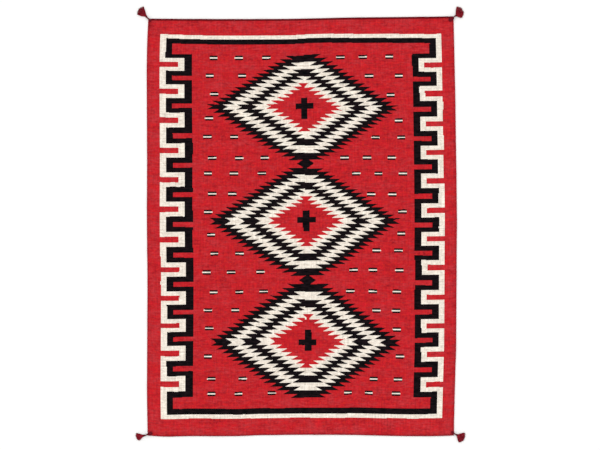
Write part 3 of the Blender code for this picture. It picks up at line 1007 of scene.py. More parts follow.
        # The key differs for every row of teeth, so each gets a chance of its own
        inputs = {"W": values["tooth_key"]}
        chance = add_node(tree, "ShaderNodeTexWhiteNoise", inputs, noise_dimensions="1D")
        values["chance"] = chance.outputs["Value"]
        add_steps(tree, values, (
            ("stepped", "MULTIPLY", "row", "step"),
            ("rows_late", "SUBTRACT", "row", teeth.late_row),
            ("late", "MAXIMUM", "rows_late", 0.0),
            ("late_step", "MULTIPLY_ADD", "lower", teeth.late_step_lower, teeth.late_step),
            ("closing", "MULTIPLY_ADD", "late", "late_step", "stepped"),
            ("slanting", "MULTIPLY_ADD", "in_row", -teeth.slant, "closing"),
            ("uneven", "MULTIPLY_ADD", "chance", teeth.uneven, "slanting"),
            ("shift", "MULTIPLY_ADD", "is_right", teeth.shifts[1] - teeth.shifts[0], teeth.shifts[0]),
        ))
        for count, ring in enumerate(teeth.rings):
            add_steps(tree, values, (
                ("begin", "MULTIPLY_ADD", "shift", float(count), "uneven"),
                ("plain_edge", "ADD", "begin", teeth.slant - teeth.uneven / 2 + ring.gain),
                ("last_row", "COMPARE", "row", ring.rows - 1.0, 0.5),
                ("edge", "MULTIPLY_ADD", "last_row", ring.last_in, "plain_edge"),
                ("within", "GREATER_THAN", "inward", "edge"),
                ("started", "LESS_THAN", "row", ring.rows - 0.5),
                ("in_ring", "MULTIPLY", "within", "started"),
                ("yarn", "PAINT", "yarn", ring.yarn, "in_ring"),
            ))

    def paint_small_motifs(self, tree: Tree, values: dict) -> None:
        """Paint the tips and crosses inside the diamonds, and the lozenges between.

        A tip's half-width grows evenly from its neck to its far end, and its
        root reaches into the red beyond the neck. A lozenge is where
        |x| / half_width + |y| / half_height is under 1.

        Args:
            tree: The node tree.
            values: The named sockets.
        """
        pattern = self.pattern
        tip_from, tip_to = pattern.tip_span
        for centre_x, neck_y, wide, height in pattern.red_tips:
            add_steps(tree, values, (
                ("past_neck", "SUBTRACT", "y", neck_y),
                ("tip_share", "DIVIDE", "past_neck", height),
                ("tip_widening", "MULTIPLY_ADD", "tip_share", wide - pattern.tip_neck, pattern.tip_neck),
                ("tip_half", "MAXIMUM", "tip_widening", pattern.tip_neck),
                ("from_x", "SUBTRACT", "x", centre_x),
                ("off_across", "ABSOLUTE", "from_x"),
                ("tip_across", "LESS_THAN", "off_across", "tip_half"),
                ("tip_along", "COMPARE", "tip_share", (tip_to + tip_from) / 2, (tip_to - tip_from) / 2),
                ("red_tip", "MULTIPLY", "tip_across", "tip_along"),
                ("yarn", "PAINT", "yarn", Yarn.RED, "red_tip"),
            ))
        for places, half in (
            (pattern.cross_bars, pattern.cross_bar_half),
            (pattern.cross_arms, pattern.cross_arm_half),
        ):
            for centre in places:
                add_steps(tree, values, (
                    ("cross_x", "COMPARE", "x", centre[0], half[0]),
                    ("cross_y", "COMPARE", "y", centre[1], half[1]),
                    ("cross", "MULTIPLY", "cross_x", "cross_y"),
                    ("yarn", "PAINT", "yarn", Yarn.BLACK, "cross"),
                ))
        half_x, half_y = pattern.lozenge_half
        for centre_x, centre_y in pattern.lozenges:
            add_steps(tree, values, (
                ("from_x", "SUBTRACT", "x", centre_x),
                ("off_across", "ABSOLUTE", "from_x"),
                ("from_y", "SUBTRACT", "y", centre_y),
                ("off_along", "ABSOLUTE", "from_y"),
                ("share_along", "DIVIDE", "off_along", half_y),
                ("total", "MULTIPLY_ADD", "off_across", 1 / half_x, "share_along"),
                ("lozenge", "LESS_THAN", "total", 1.0),
                ("yarn", "PAINT", "yarn", Yarn.BLACK, "lozenge"),
            ))

    def paint_dashes(self, tree: Tree, values: dict) -> None:
        """Paint the small dashes, a cream core between two black lines.

        The chart gives each row's height and up to three places across, and a
        missing place lies outside the rug.

        Args:
            tree: The node tree.
            values: The named sockets.
        """
        pattern, span = self.pattern, self.pattern.chart_span
        rows = pattern.dashes[::-1]
        sides = []
        for heights, places in (
            ([row.left_y for row in rows], [row.left for row in rows]),
            ([row.right_y for row in rows], [row.right for row in rows]),
        ):
            starts = [-span / 2] + [(a + b) / 2 for a, b in zip(heights, heights[1:])]
            stops = []
            for start, height, xs in zip(starts, heights, places):
                padded = (*xs, *(-span / 2,) * (3 - len(xs)))
                stops.append((start, (*(x / span + 0.5 for x in padded), height / span + 0.5)))
            sides.append(stops)
        self.sided_chart(tree, values, sides, "CONSTANT", ("place_a", "place_b", "place_c", "row_y"))
        layers = ((Yarn.BLACK, pattern.dash_half), (Yarn.CREAM, pattern.dash_core_half))
        for yarn, (half_x, half_y) in layers:
            add_steps(tree, values, (
                ("dash_a", "COMPARE", "chart_x", "place_a", half_x / span),
                ("dash_b", "COMPARE", "chart_x", "place_b", half_x / span),
                ("dash_c", "COMPARE", "chart_x", "place_c", half_x / span),
                ("dash_ab", "MAXIMUM", "dash_a", "dash_b"),
                ("dash_abc", "MAXIMUM", "dash_ab", "dash_c"),
                ("dash_rows", "COMPARE", "chart_y", "row_y", half_y / span),
                ("dash", "MULTIPLY", "dash_abc", "dash_rows"),
                ("yarn", "PAINT", "yarn", yarn, "dash"),
            ))

    def soft_noise(
        self, tree: Tree, values: dict, spread: tuple, detail: float, roughness: float = 0.6,
    ) -> Socket:
        """Make a soft noise over the cloth.

        Args:
            tree: The node tree.
            values: The named sockets.
            spread: How many of its blotches a millimetre holds, across and along.
            detail: How many finer octaves it has.
            roughness: How strong the finer octaves are.

        Returns:
            The noise's socket, about 0.5 on average.
        """
        inputs = {"Vector": values["place"], "Scale": (*spread, 1.0)}
        spot = add_node(tree, "ShaderNodeMapping", inputs).outputs["Vector"]
        inputs = {"Vector": spot, "Scale": 1.0, "Detail": detail, "Roughness": roughness}
        return add_node(tree, "ShaderNodeTexNoise", inputs, noise_dimensions="2D").outputs["Fac"]

    def dyed_colour(self, tree: Tree, values: dict) -> Socket:
        """Give each yarn its dye, uneven by skein, by rib and by pick; paint shade into rib grooves.

        The first picks at the top end are dark yarn that gives way to red.
        Towards all four edges the cloth is darker and the red is dustier,
        each as exp(-distance / depth). Dark dye has bled from the top left
        knot down the edge, as exp(-(x / width)**2 - (y / length)**2).
        Each dye's share is a noise with the contrast that the photo shows.

        Args:
            tree: The node tree.
            values: The named sockets.

        Returns:
            The colour's socket.
        """
        for name, (across, along), detail in self.unevenness:
            values[name] = self.soft_noise(tree, values, (1 / across, 1 / along), detail)
        (bled_x, bled_y), (bled_width, bled_length) = self.bled_place, self.bled_size
        width, length = self.field_size
        add_steps(tree, values, (
            ("cream_here", "COMPARE", "yarn", Yarn.CREAM.value, self.yarn_reach),
            ("black_here", "COMPARE", "yarn", Yarn.BLACK.value, self.yarn_reach),
            ("size_x", "ABSOLUTE", "true_x"),
            ("size_y", "ABSOLUTE", "true_y"),
            ("to_side", "SUBTRACT", width / 2, "size_x"),
            ("to_end", "SUBTRACT", length / 2, "size_y"),
            ("to_edge", "MINIMUM", "to_side", "to_end"),
            # Darker towards all four edges
            ("edge_darkening_part", "MULTIPLY", "to_edge", -1 / self.edge_darkening_depth),
            ("edge_darkening", "EXPONENT", "edge_darkening_part"),
            ("rubbed_part", "MULTIPLY", "to_edge", -1 / self.rubbed_depth),
            ("rubbed", "EXPONENT", "rubbed_part"),
            ("to_top", "SUBTRACT", length / 2, "true_y"),
            ("top_part", "MULTIPLY_ADD", "to_top", -1 / self.dark_picks, self.dark_start),
            ("dark_picks", "MINIMUM", "top_part", self.dark_share),
            ("bled_x", "MULTIPLY_ADD", "true_x", 1 / bled_width, -bled_x / bled_width),
            ("bled_y", "MULTIPLY_ADD", "true_y", 1 / bled_length, -bled_y / bled_length),
            ("bled_x_squared", "MULTIPLY", "bled_x", "bled_x"),
            ("bled_squared", "MULTIPLY_ADD", "bled_y", "bled_y", "bled_x_squared"),
            ("bled_part", "MULTIPLY", "bled_squared", -1.0),
            ("bled_full", "EXPONENT", "bled_part"),
            ("bled", "MULTIPLY", "bled_full", self.bled_share),
            ("dark_share", "MAXIMUM", "dark_picks", "bled"),
            ("deep_share", "MULTIPLY_ADD", "skein", *self.deep_read),
            ("bright_share", "MULTIPLY_ADD", "blotch", *self.bright_read),
            ("haze_part", "MULTIPLY_ADD", "haze", *self.haze_read),
            ("dust_part", "MULTIPLY_ADD", "dust", self.dust_contrast, "haze_part"),
            ("dusty_share", "MULTIPLY_ADD", "rubbed", self.rubbed_share, "dust_part"),
            ("warm_share", "MULTIPLY_ADD", "grain", *self.warm_read),
            ("wool_share", "MULTIPLY_ADD", "dust", *self.wool_read),
        ))
        layers = [
            ("deep_share", linear(self.red)), ("bright_share", linear(self.red_bright)),
            ("warm_share", linear(self.red_warm)), ("dusty_share", linear(self.red_dusty)),
        ]
        for mask, low, high in (
            ("cream_here", self.cream_grey, self.cream), ("black_here", self.black, self.black_brown),
        ):
            inputs = {"Factor": values["wool_share"], MIX_LOW: linear(low), MIX_HIGH: linear(high)}
            wool = add_node(tree, "ShaderNodeMix", inputs, data_type="RGBA").outputs[MIX_COLOUR]
            layers.append((mask, wool))
        layers.append(("dark_share", linear(self.selvage)))
        colour = linear(self.red_deep)
        for share, layer in layers:
            inputs = {"Factor": values[share], MIX_LOW: colour, MIX_HIGH: layer}
            colour = add_node(tree, "ShaderNodeMix", inputs, data_type="RGBA").outputs[MIX_COLOUR]
        add_steps(tree, values, (
            ("streaks", "ADD", "rib_streak", "pick_streak"),
            ("grained", "ADD", "streaks", "grain"),
            ("tone", "MULTIPLY_ADD", "grained", *self.tone),
            ("edged", "MULTIPLY_ADD", "edge_darkening", self.edge_darkening_tone, "tone"),
            # Painted shade in the rib grooves and painted light on the rib tops, scaled by the weave's
            # relief
            ("painted_rib_shade", "MULTIPLY_ADD", "woven", *self.painted_rib_shade),
            ("shaded", "MULTIPLY", "edged", "painted_rib_shade"),
        ))
        inputs = {0: colour, "Scale": values["shaded"]}
        return add_node(tree, "ShaderNodeVectorMath", inputs, operation="SCALE").outputs["Vector"]

    def weave_relief(self, tree: Tree, values: dict) -> Socket:
        """Raise the ribs and the yarn beads on them.

        A rib is sin(pi * x) of the place across it, and the beads of
        neighbouring ribs are half a bead apart.

        Args:
            tree: The node tree.
            values: The named sockets.

        Returns:
            The normal's socket.
        """
        across, along = self.fuzz_size
        values["fuzz"] = self.soft_noise(tree, values, (1 / across, 1 / along), self.fuzz_detail)
        add_steps(tree, values, (
            ("ribs", "DIVIDE", "true_x", self.rib),
            ("rib_count", "FLOOR", "ribs"),
            ("in_rib", "FRACT", "ribs"),
            ("rib_angle", "MULTIPLY", "in_rib", math.pi),
            ("rib_dome", "SINE", "rib_angle"),
            ("stagger", "MULTIPLY", "rib_count", 0.5),
            ("beads", "MULTIPLY_ADD", "true_y", 1 / self.bead, "stagger"),
            ("in_bead", "FRACT", "beads"),
            ("bead_angle", "MULTIPLY", "in_bead", math.pi),
            ("bead_dome", "SINE", "bead_angle"),
            ("bead_height", "MULTIPLY_ADD", "bead_dome", 1 - self.bead_floor, self.bead_floor),
            ("woven", "MULTIPLY", "rib_dome", "bead_height"),
            ("relief", "MULTIPLY_ADD", "fuzz", self.fuzz_height, "woven"),
        ))
        height = {"Height": values["relief"], "Distance": self.relief * MM}
        inputs = {**height, "Strength": self.relief_strength}
        return add_node(tree, "ShaderNodeBump", inputs).outputs["Normal"]


@dataclass(frozen=True)
class TwistedWool:
    """Finish of cords, knots and tassels: thick plied wool, dyed dark.

    The eye sees matt yarn, darker in the grooves between its plies, with
    fine fibres and strands that took the dye unevenly. Fibre and patch are
    the sizes of that unevenness in millimetres and its finer octaves, and the
    bound tone is how much darker the parts are where the yarn is wound tight.
    """

    name: str
    deep: str
    dyed: str
    strands: int = 1
    bound_tone: float = 1.0
    bound_limit: float = 0.95
    fibre: tuple = (0.5, 3.0)
    patch: tuple = (14.0, 2.0)
    strand_spread: float = 0.5
    fibre_spread: float = 0.5
    fibre_relief: float = 0.25
    relief_strength: float = 0.5
    roughness: float = 0.9
    specular: float = 0.1
    sheen: float = 0.03

    def material(self) -> Finish:
        """Make the material.

        Returns:
            The yarn's material, which reads the piece's own UV map for its
            strands and Object coordinates for its fibres.
        """
        made = new_finish(self.name, self.roughness, self.specular, self.sheen)
        tree = made.node_tree
        shader = tree.nodes["Principled BSDF"]
        uv = add_node(tree, "ShaderNodeUVMap", uv_map=BAKE_MAP).outputs["UV"]
        spot = add_node(tree, "ShaderNodeTexCoord").outputs["Object"]
        parts = add_node(tree, "ShaderNodeSeparateXYZ", {"Vector": uv})
        values = {"u": parts.outputs["X"], "v": parts.outputs["Y"]}
        add_steps(tree, values, (
            ("strand_place", "MULTIPLY", "u", float(self.strands)),
            ("strand", "FLOOR", "strand_place"),
        ))
        inputs = {"W": values["strand"]}
        chance = add_node(tree, "ShaderNodeTexWhiteNoise", inputs, noise_dimensions="1D")
        values["chance"] = chance.outputs["Value"]
        for name, (size, detail) in (("fibres", self.fibre), ("patches", self.patch)):
            inputs = {"Vector": spot, "Scale": 1 / (size * MM), "Detail": detail}
            values[name] = add_node(tree, "ShaderNodeTexNoise", inputs).outputs["Fac"]
        add_steps(tree, values, (
            ("by_strand", "MULTIPLY_ADD", "chance", self.strand_spread, -self.strand_spread / 2),
            ("by_patch", "ADD", "patches", "by_strand"),
            ("dye", "MULTIPLY_ADD", "fibres", self.fibre_spread, "by_patch"),
            ("share", "SUBTRACT", "dye", self.fibre_spread / 2),
            ("bound", "LESS_THAN", "v", BOUND_SHARE * self.bound_limit),
            ("tone", "MULTIPLY_ADD", "bound", self.bound_tone - 1.0, 1.0),
        ))
        inputs = {"Factor": values["share"], MIX_LOW: linear(self.deep), MIX_HIGH: linear(self.dyed)}
        dye = add_node(tree, "ShaderNodeMix", inputs, data_type="RGBA").outputs[MIX_COLOUR]
        inputs = {0: dye, "Scale": values["tone"]}
        toned = add_node(tree, "ShaderNodeVectorMath", inputs, operation="SCALE")
        tree.links.new(toned.outputs["Vector"], shader.inputs["Base Color"])
        height = {"Height": values["fibres"], "Distance": self.fibre_relief * MM}
        bump = add_node(tree, "ShaderNodeBump", {**height, "Strength": self.relief_strength})
        tree.links.new(bump.outputs["Normal"], shader.inputs["Normal"])
        return made


@dataclass(frozen=True)
class WovenField:
    """The rug's one piece of tapestry cloth, a closed sheet with round rims."""

    outline: Outline
    thickness: float = 4.0
    cells_across: int = 168
    cells_along: int = 226
    rim_radius: float = 2.0
    sewn_in: float = 1.0
    rim_places: tuple = (0.25, 0.9, 2.0)
    swell: float = 0.25
    # Each swell's length in millimetres to a radian, its drift and the drift's length
    swell_across: tuple = (23.0, 1.7, 61.0)
    swell_along: tuple = (31.0, 1.3, 47.0)

    def size(self) -> tuple[float, float]:
        """Give the cloth's flat size, cords left out."""
        outline = self.outline
        width = 2 * (outline.half_width - outline.side_cord - outline.gap)
        length = 2 * (outline.half_length - outline.end_cord - outline.gap)
        return width, length

    def stations(self, full: float, cells: int) -> np.ndarray:
        """Space grid lines over a side, with some close to its rims.

        Args:
            full: The side's length.
            cells: How many even cells it has.

        Returns:
            Places from 0 to the full length.
        """
        near = np.array(self.rim_places)
        even = np.linspace(0.0, full, cells + 1)
        inner = even[(even > 2 * near[-1]) & (even < full - 2 * near[-1])]
        return np.concatenate([[0.0], near, inner, full - near[::-1], [full]])

    def surface(self) -> Surface:
        """Work out the cloth's top, underside and rim.

        A grid place (s, t) of the plain cloth is shifted by the outline's
        wander, blended straight across from left to right and from bottom to
        top. Height above the middle layer is half the thickness times
        sqrt(1 - (1 - d / r)**2) within r of the rim, a half round. The yarn's
        uneven beat swells the top as a product of two drifting sines, 14 and
        19 cm long, and the rim is sewn into the grooves of the cords.

        Returns:
            The closed surface. Its UV map is the plain cloth, 0 to 1 each
            way, the same on both faces, as a tapestry shows the same pattern
            on both.
        """
        width, length = self.size()
        across = self.stations(width, self.cells_across)
        along = self.stations(length, self.cells_along)
        t, s = np.meshgrid(along / length, across / width, indexing="ij")
        outline = self.outline
        plain_x = (2 * s - 1) * outline.half_width
        plain_y = (2 * t - 1) * outline.half_length
        inset_side = outline.side_cord + outline.gap - self.sewn_in
        inset_end = outline.end_cord + outline.gap - self.sewn_in
        left, right = (outline.side_x(side, plain_y, inset_side) for side in (-1, 1))
        bottom, upper = (outline.end_y(end, plain_x, inset_end) for end in (-1, 1))
        x = left * (1 - s) + right * s
        y = bottom * (1 - t) + upper * t

        rim_x = np.minimum(across, width - across)[None, :]
        rim_y = np.minimum(along, length - along)[:, None]
        depth = np.minimum(np.minimum(rim_x, rim_y) / self.rim_radius, 1.0)
        half = self.thickness / 2 * np.sqrt(np.maximum(1 - (1 - depth) ** 2, 0.0))
        across_swell, along_swell = (
            np.sin(place / step + drift * np.sin(beside / drift_step))
            for place, beside, (step, drift, drift_step) in (
                (x, y, self.swell_across), (y, x, self.swell_along),
            )
        )
        middle = self.thickness / 2 + outline.lift(x, y)
        top = middle + half + self.swell * across_swell * along_swell * depth
        under = middle - half

        rows, columns = x.shape
        top_index = np.arange(rows * columns).reshape(rows, columns)
        under_index = top_index.copy()
        inner = (rows - 2) * (columns - 2)
        under_index[1:-1, 1:-1] = rows * columns + np.arange(inner).reshape(rows - 2, columns - 2)
        points = np.concatenate([
            np.stack([x, y, top], axis=-1).reshape(-1, 3),
            np.stack([x, y, under], axis=-1)[1:-1, 1:-1].reshape(-1, 3),
        ])

        def cells(grid: np.ndarray) -> np.ndarray:
            """List each cell's four corners, anticlockwise from above."""
            corners = [grid[:-1, :-1], grid[:-1, 1:], grid[1:, 1:], grid[1:, :-1]]
            return np.stack(corners, axis=-1).reshape(-1, 4)

        upper_side, under_side = cells(top_index), cells(under_index)[:, ::-1]
        flat = np.stack([s, t], axis=-1).reshape(-1, 2)
        uv = np.concatenate([flat[upper_side], flat[upper_side[:, ::-1]]])
        return Surface(points, np.concatenate([upper_side, under_side]), uv)

    def dress(self, ground: Ground, trims: list[Piece]) -> Piece:
        """Args:
            ground: The frame to place it in.
            trims: The cords, knots and tassels sewn to it; not used.

        Returns:
            The cloth.
        """
        size = self.size()
        material = TapestryWool(Pattern(), size).material()
        cloth = self.surface().to_object("rug_cloth", ground, material)
        attach(cloth, "rug_weave")
        return cloth


@dataclass(frozen=True)
class EdgeCord:
    """One plied cord along an edge of the rug, named for its place.

    Across is whether it runs along an end, and toward is 1 for the top or the
    right and -1 for the bottom or the left.
    """

    outline: Outline
    place: str
    across: bool
    toward: int
    section: YarnSection
    rings_per_lay: int = 9
    tip_rings: float = 2.0
    tip_start: float = 0.4

    def path(self) -> np.ndarray:
        """Work out the cord's middle line.

        It follows the outline's cubic at even steps, its own radius inside
        the outer line and above the floor, and rides on the cloth's ripples.

        Returns:
            One strand of points.
        """
        outline, radius = self.outline, self.section.radius
        if self.across:
            ends = [outline.rim_corner(side, self.toward, 0.0, 0.0)[0] for side in (-1, 1)]
        else:
            inset = outline.end_cord + outline.gap
            ends = [outline.rim_corner(self.toward, end, 0.0, inset)[1] for end in (-1, 1)]
        count = int((ends[1] - ends[0]) / self.section.lay * self.rings_per_lay)
        place = np.linspace(ends[0], ends[1], count)
        if self.across:
            x, y = place, outline.end_y(self.toward, place, radius)
        else:
            x, y = outline.side_x(self.toward, place, radius), place
        return np.stack([x, y, radius + outline.lift(x, y)], axis=-1)[None]

    def dress(self, ground: Ground, material: Finish, slot: str) -> Piece:
        """Build the cord in place of its solid, drawn in at its two tips.

        Args:
            ground: The frame to place it in.
            material: Its finish.
            slot: The record's material slot; not used.

        Returns:
            The cord.
        """
        path = self.path()
        from_end = np.minimum(np.arange(path.shape[1]), np.arange(path.shape[1])[::-1])
        scale = np.sqrt(np.minimum((from_end + self.tip_start) / self.tip_rings, 1.0))[None]
        cord = self.section.sweep(path, upward(path), scale)
        return attach(cord.to_object("plied_" + self.place, ground, material), self.place)


@dataclass(frozen=True)
class Corner:
    """Where a corner's knot and tassel lie, and how the tassel spreads.

    Places are in the plain rectangle's frame, and a knot's half sizes lie
    along and across its winding. Angles are degrees from +X towards +Y, and
    the three reaches are the fan's length at its first, middle and last
    strand.
    """

    name: str
    knot: tuple
    knot_half: tuple
    root: tuple
    fan: tuple
    reaches: tuple
    seed: int

    def heading(self) -> float:
        """Give the angle from the knot's middle to the tassel's root."""
        return math.atan2(self.root[1] - self.knot[1], self.root[0] - self.knot[0])

    def fan_line(self) -> float:
        """Give the angle of the fan's middle line."""
        return math.radians(sum(self.fan) / 2)

    def reach(self, share: np.ndarray) -> np.ndarray:
        """Find a strand's length on a parabola through the three reaches."""
        first, middle, last = self.reaches
        return (
            first * (1 - share) * (1 - 2 * share)
            + middle * 4 * share * (1 - share)
            + last * share * (2 * share - 1)
        )


CORNERS = (
    Corner(
        "top_left", (-786.5, 1067.5), (9.5, 7.5), (-801.5, 1084.5), (109, 166), (58, 60, 51), 3,
    ),
    Corner(
        "top_right", (773.0, 1074.0), (16.5, 12.5), (794.0, 1090.0), (-16, 80), (32, 51, 51), 5,
    ),
    Corner(
        "bottom_left", (-785.5, -1071.0), (14.0, 11.0), (-812.0, -1081.0), (166, 220), (47, 47, 41), 7,
    ),
    Corner(
        "bottom_right", (781.0, -1066.0), (10.0, 8.5), (798.8, -1077.0), (-70, 11), (43, 49, 46), 9,
    ),
)


@dataclass(frozen=True)
class CornerKnot:
    """A lump of the edge cord, wound and tied over the rug's corner.

    The pole gap is the angle left free at both ends of the winding, and stray
    how far a turn leans from its place. Pressed, bedded and the core's inset
    are shares of the cord's radius that the winding and the core are set in.
    """

    corner: Corner
    middle_height: float = 8.0
    half_height: float = 4.2
    seat: float = 4.3
    section: YarnSection = YarnSection(radius=1.75, plies=2, lay=9.0, sides=10, fat=0.6)
    turn_width: float = 3.3
    rings_per_turn: int = 36
    pole_gap: float = 0.28
    stray: float = 0.10
    pressed: float = 0.6
    bedded: float = 0.8
    core_inset: float = 1.1
    core_pressed: float = 0.7
    core_span: tuple = (0.05, 0.95)
    core_rings: int = 13
    core_sides: int = 20
    seat_gap: float = 0.1

    def winding(self) -> tuple[np.ndarray, np.ndarray]:
        """Work out the wound cord's path and the directions off the lump.

        The path is a helix on an ellipsoid whose long axis is the tassel's
        line: at turn angle a and polar angle p it is (L * cos(p), W * sin(p) *
        cos(a), H * sin(p) * sin(a)), p growing evenly from end to end. Its
        underside is flattened to the seat.

        Returns:
            The path and its normals, one strand each.
        """
        half_length, half_width = self.corner.knot_half
        inset = self.section.radius
        turns = 2 * (half_length - inset) / self.turn_width + 1.0
        count = int(turns * self.rings_per_turn)
        turn = np.linspace(0.0, 2 * math.pi * turns, count)
        polar = np.linspace(self.pole_gap, math.pi - self.pole_gap, count)
        polar = polar + self.stray * np.sin(turn * 0.5)
        long = (half_length - inset) * np.cos(polar)
        wide = (half_width - inset) * np.sin(polar) * np.cos(turn)
        tall = (self.half_height - inset * self.pressed) * np.sin(polar) * np.sin(turn)
        halves = np.array((half_length, half_width, self.half_height))
        lump = np.stack([long, wide, tall], axis=-1)
        heading = self.corner.heading()
        turned = np.array([
            [math.cos(heading), math.sin(heading), 0.0],
            [-math.sin(heading), math.cos(heading), 0.0],
            [0.0, 0.0, 1.0],
        ])
        middle = np.array((*self.corner.knot, self.middle_height))
        path = lump @ turned + middle
        path[:, 2] = np.maximum(path[:, 2], self.seat + inset * self.bedded)
        return path[None], (lump / halves**2 @ turned)[None]

    def dress(self, ground: Ground, material: Finish) -> Piece:
        """Build the wound knot in place of its solid.

        Args:
            ground: The frame to place it in.
            material: Its finish.

        Returns:
            The knot.
        """
        path, normal = self.winding()
        wound = self.section.sweep(path, normal, np.ones(path.shape[:2]))
        lump = Surface.joined([wound, self.core()])
        lump.points[:, 2] = np.maximum(lump.points[:, 2], self.seat + self.seat_gap)
        knot = lump.to_object("wound_knot_" + self.corner.name, ground, material)
        return attach(knot, "corner_knot_" + self.corner.name)

    def core(self) -> Surface:
        """Work out the lump inside the winding, an ellipsoid closed at both ends.

        It is a round section carried along the knot's long axis, its radius
        sin(p) times the full one at L * cos(p), then pressed to the lump's
        height.

        Returns:
            The core.
        """
        half_length, half_width = self.corner.knot_half
        shrink = self.section.radius * self.core_inset
        polar = np.linspace(*self.core_span, self.core_rings) * math.pi
        heading = self.corner.heading()
        long = (half_length - shrink) * np.cos(polar)
        path = np.stack([
            self.corner.knot[0] + long * math.cos(heading),
            self.corner.knot[1] + long * math.sin(heading),
            np.full_like(long, self.middle_height),
        ], axis=-1)[None]
        wide, tall = half_width - shrink, self.half_height - shrink * self.core_pressed
        section = YarnSection(wide, plies=1, lay=UNTWISTED, sides=self.core_sides, fat=1.0)
        lump = section.sweep(path, upward(path), np.sin(polar)[None])
        height = (lump.points[:, 2] - self.middle_height) * tall / wide
        lump.points[:, 2] = height + self.middle_height
        return lump


@dataclass(frozen=True)
class Tassel:
    """A short twisted neck, a bound head and a flat fan of cut yarn.

    The rises are the height from layer to layer, in yarn radii on the floor
    and in millimetres at the head. The bands are the shares of the bound part
    of the UV map that the neck and the binding take up.
    """

    corner: Corner
    strands: int = 84
    yarn: YarnSection = YarnSection(radius=1.1, plies=2, lay=7.0, sides=8, fat=0.62)
    neck: YarnSection = YarnSection(radius=3.9, plies=2, lay=13.0, sides=14, fat=0.56)
    binding: YarnSection = YarnSection(radius=0.95, plies=2, lay=5.0, sides=8, fat=0.62)
    deep: str = "#6c0d1b"
    dyed: str = "#b02234"
    bound_tone: float = 0.45
    neck_height: float = 8.7
    neck_inset: float = 2.0
    neck_rings: int = 26
    level_share: float = 0.42
    flare: float = 0.22
    head_height: float = 3.4
    head_reach: float = 6.5
    rings: int = 20
    stray: float = 0.4
    reach_spread: tuple = (-0.07, 0.04)
    opening: float = 7.0
    drawn: float = 0.14
    sway: float = 0.9
    sway_length: float = 8.0
    layers: int = 3
    floor_rise: float = 1.75
    head_rise: float = 1.3
    sink_length: float = 16.0
    root_scale: float = 0.7
    tip_scale: float = 0.55
    binding_turns: float = 3.5
    binding_rings: int = 110
    binding_span: tuple = (2.4, 8.6)
    binding_half: tuple = (4.6, 3.2)
    binding_lift: float = 0.9
    neck_band: tuple = (0.55, 0.9)
    binding_band: tuple = (0.0, 0.45)

    def neck_surface(self) -> Surface:
        """Work out the neck, level over the rim and then down to the head.

        Its height eases from the knot's to the head's as 3 t**2 - 2 t**3, and
        it swells towards the head as 1 + flare * t**2.

        Returns:
            The neck's surface.
        """
        corner = self.corner
        leave = corner.knot_half[0] - self.neck_inset
        start = np.array(corner.knot) + direction(corner.heading()) * leave
        end = np.array(corner.root) + direction(corner.fan_line()) * self.head_reach
        t = np.linspace(0.0, 1.0, self.neck_rings)
        drop = np.clip((t - self.level_share) / (1 - self.level_share), 0.0, 1.0)
        height = self.neck_height + (self.head_height - self.neck_height) * drop**2 * (3 - 2 * drop)
        flat = start + (end - start) * t[:, None]
        path = np.concatenate([flat, height[:, None]], axis=1)[None]
        return self.neck.sweep(path, upward(path), (1 + self.flare * t**2)[None])

    def fan_surface(self) -> Surface:
        """Work out the fan of cut yarn.

        A strand at angle A leaves the binding close to the fan's middle line,
        opens to A as 1 - exp(-d / opening) of its distance d, and sways a
        little as a sine. It sinks from the head's height to its own layer on
        the floor as exp(-(d / sink_length)**2).

        Returns:
            All the strands' surface.
        """
        corner = self.corner
        chance = np.random.default_rng(corner.seed)
        first, last = (math.radians(angle) for angle in corner.fan)
        number = np.arange(self.strands)
        place = number + chance.uniform(-self.stray, self.stray, self.strands)
        share = np.clip(place / (self.strands - 1), 0.0, 1.0)
        layer = number * 2 % self.layers
        reach = corner.reach(share) * (1 + chance.uniform(*self.reach_spread, self.strands))
        middle = (first + last) / 2
        spread = (share - 0.5) * abs(last - first)
        along = np.linspace(0.0, 1.0, self.rings)
        distance = along[None, :] * reach[:, None]
        opened = 1 - np.exp(-distance / self.opening)
        drawn = 1 + self.drawn * (1 - along[None, :])
        phase = chance.uniform(0.0, 2 * math.pi, self.strands)[:, None]
        bend = self.sway * np.sin(distance / self.sway_length + phase) * along[None, :]
        angle = middle + spread[:, None] * opened * drawn
        x = corner.root[0] + distance * np.cos(angle) - bend * np.sin(angle)
        y = corner.root[1] + distance * np.sin(angle) + bend * np.cos(angle)
        rest = self.yarn.radius * (1.0 + self.floor_rise * layer[:, None])
        pile = self.head_height + (layer[:, None] - 1) * self.head_rise
        sink = np.exp(-((distance / self.sink_length) ** 2))
        z = np.maximum(rest + (pile - rest) * sink, self.yarn.radius)
        path = np.stack([x, y, z], axis=-1)
        scale = np.ones(path.shape[:2])
        scale[:, -1] = self.tip_scale
        scale[:, 0] = self.root_scale
        return self.yarn.sweep(path, upward(path), scale)

    def binding_surface(self) -> Surface:
        """Work out the yarn wound round the head.

        It is a helix on an ellipse across the fan's middle line, kept above
        the floor.

        Returns:
            The binding's surface.
        """
        corner = self.corner
        line_x, line_y = direction(corner.fan_line())
        turn = np.linspace(0.0, 2 * math.pi * self.binding_turns, self.binding_rings)
        long = np.linspace(*self.binding_span, self.binding_rings)
        wide = self.binding_half[0] * np.cos(turn)
        tall = self.binding_half[1] * np.sin(turn)
        x = corner.root[0] + long * line_x - wide * line_y
        y = corner.root[1] + long * line_y + wide * line_x
        z = np.maximum(self.head_height + self.binding_lift + tall, self.binding.radius)
        path = np.stack([x, y, z], axis=-1)[None]
        off = np.cos(turn)
        normal = np.stack([-off * line_y, off * line_x, np.sin(turn)], axis=-1)[None]
        return self.binding.sweep(path, normal, np.ones(path.shape[:2]))

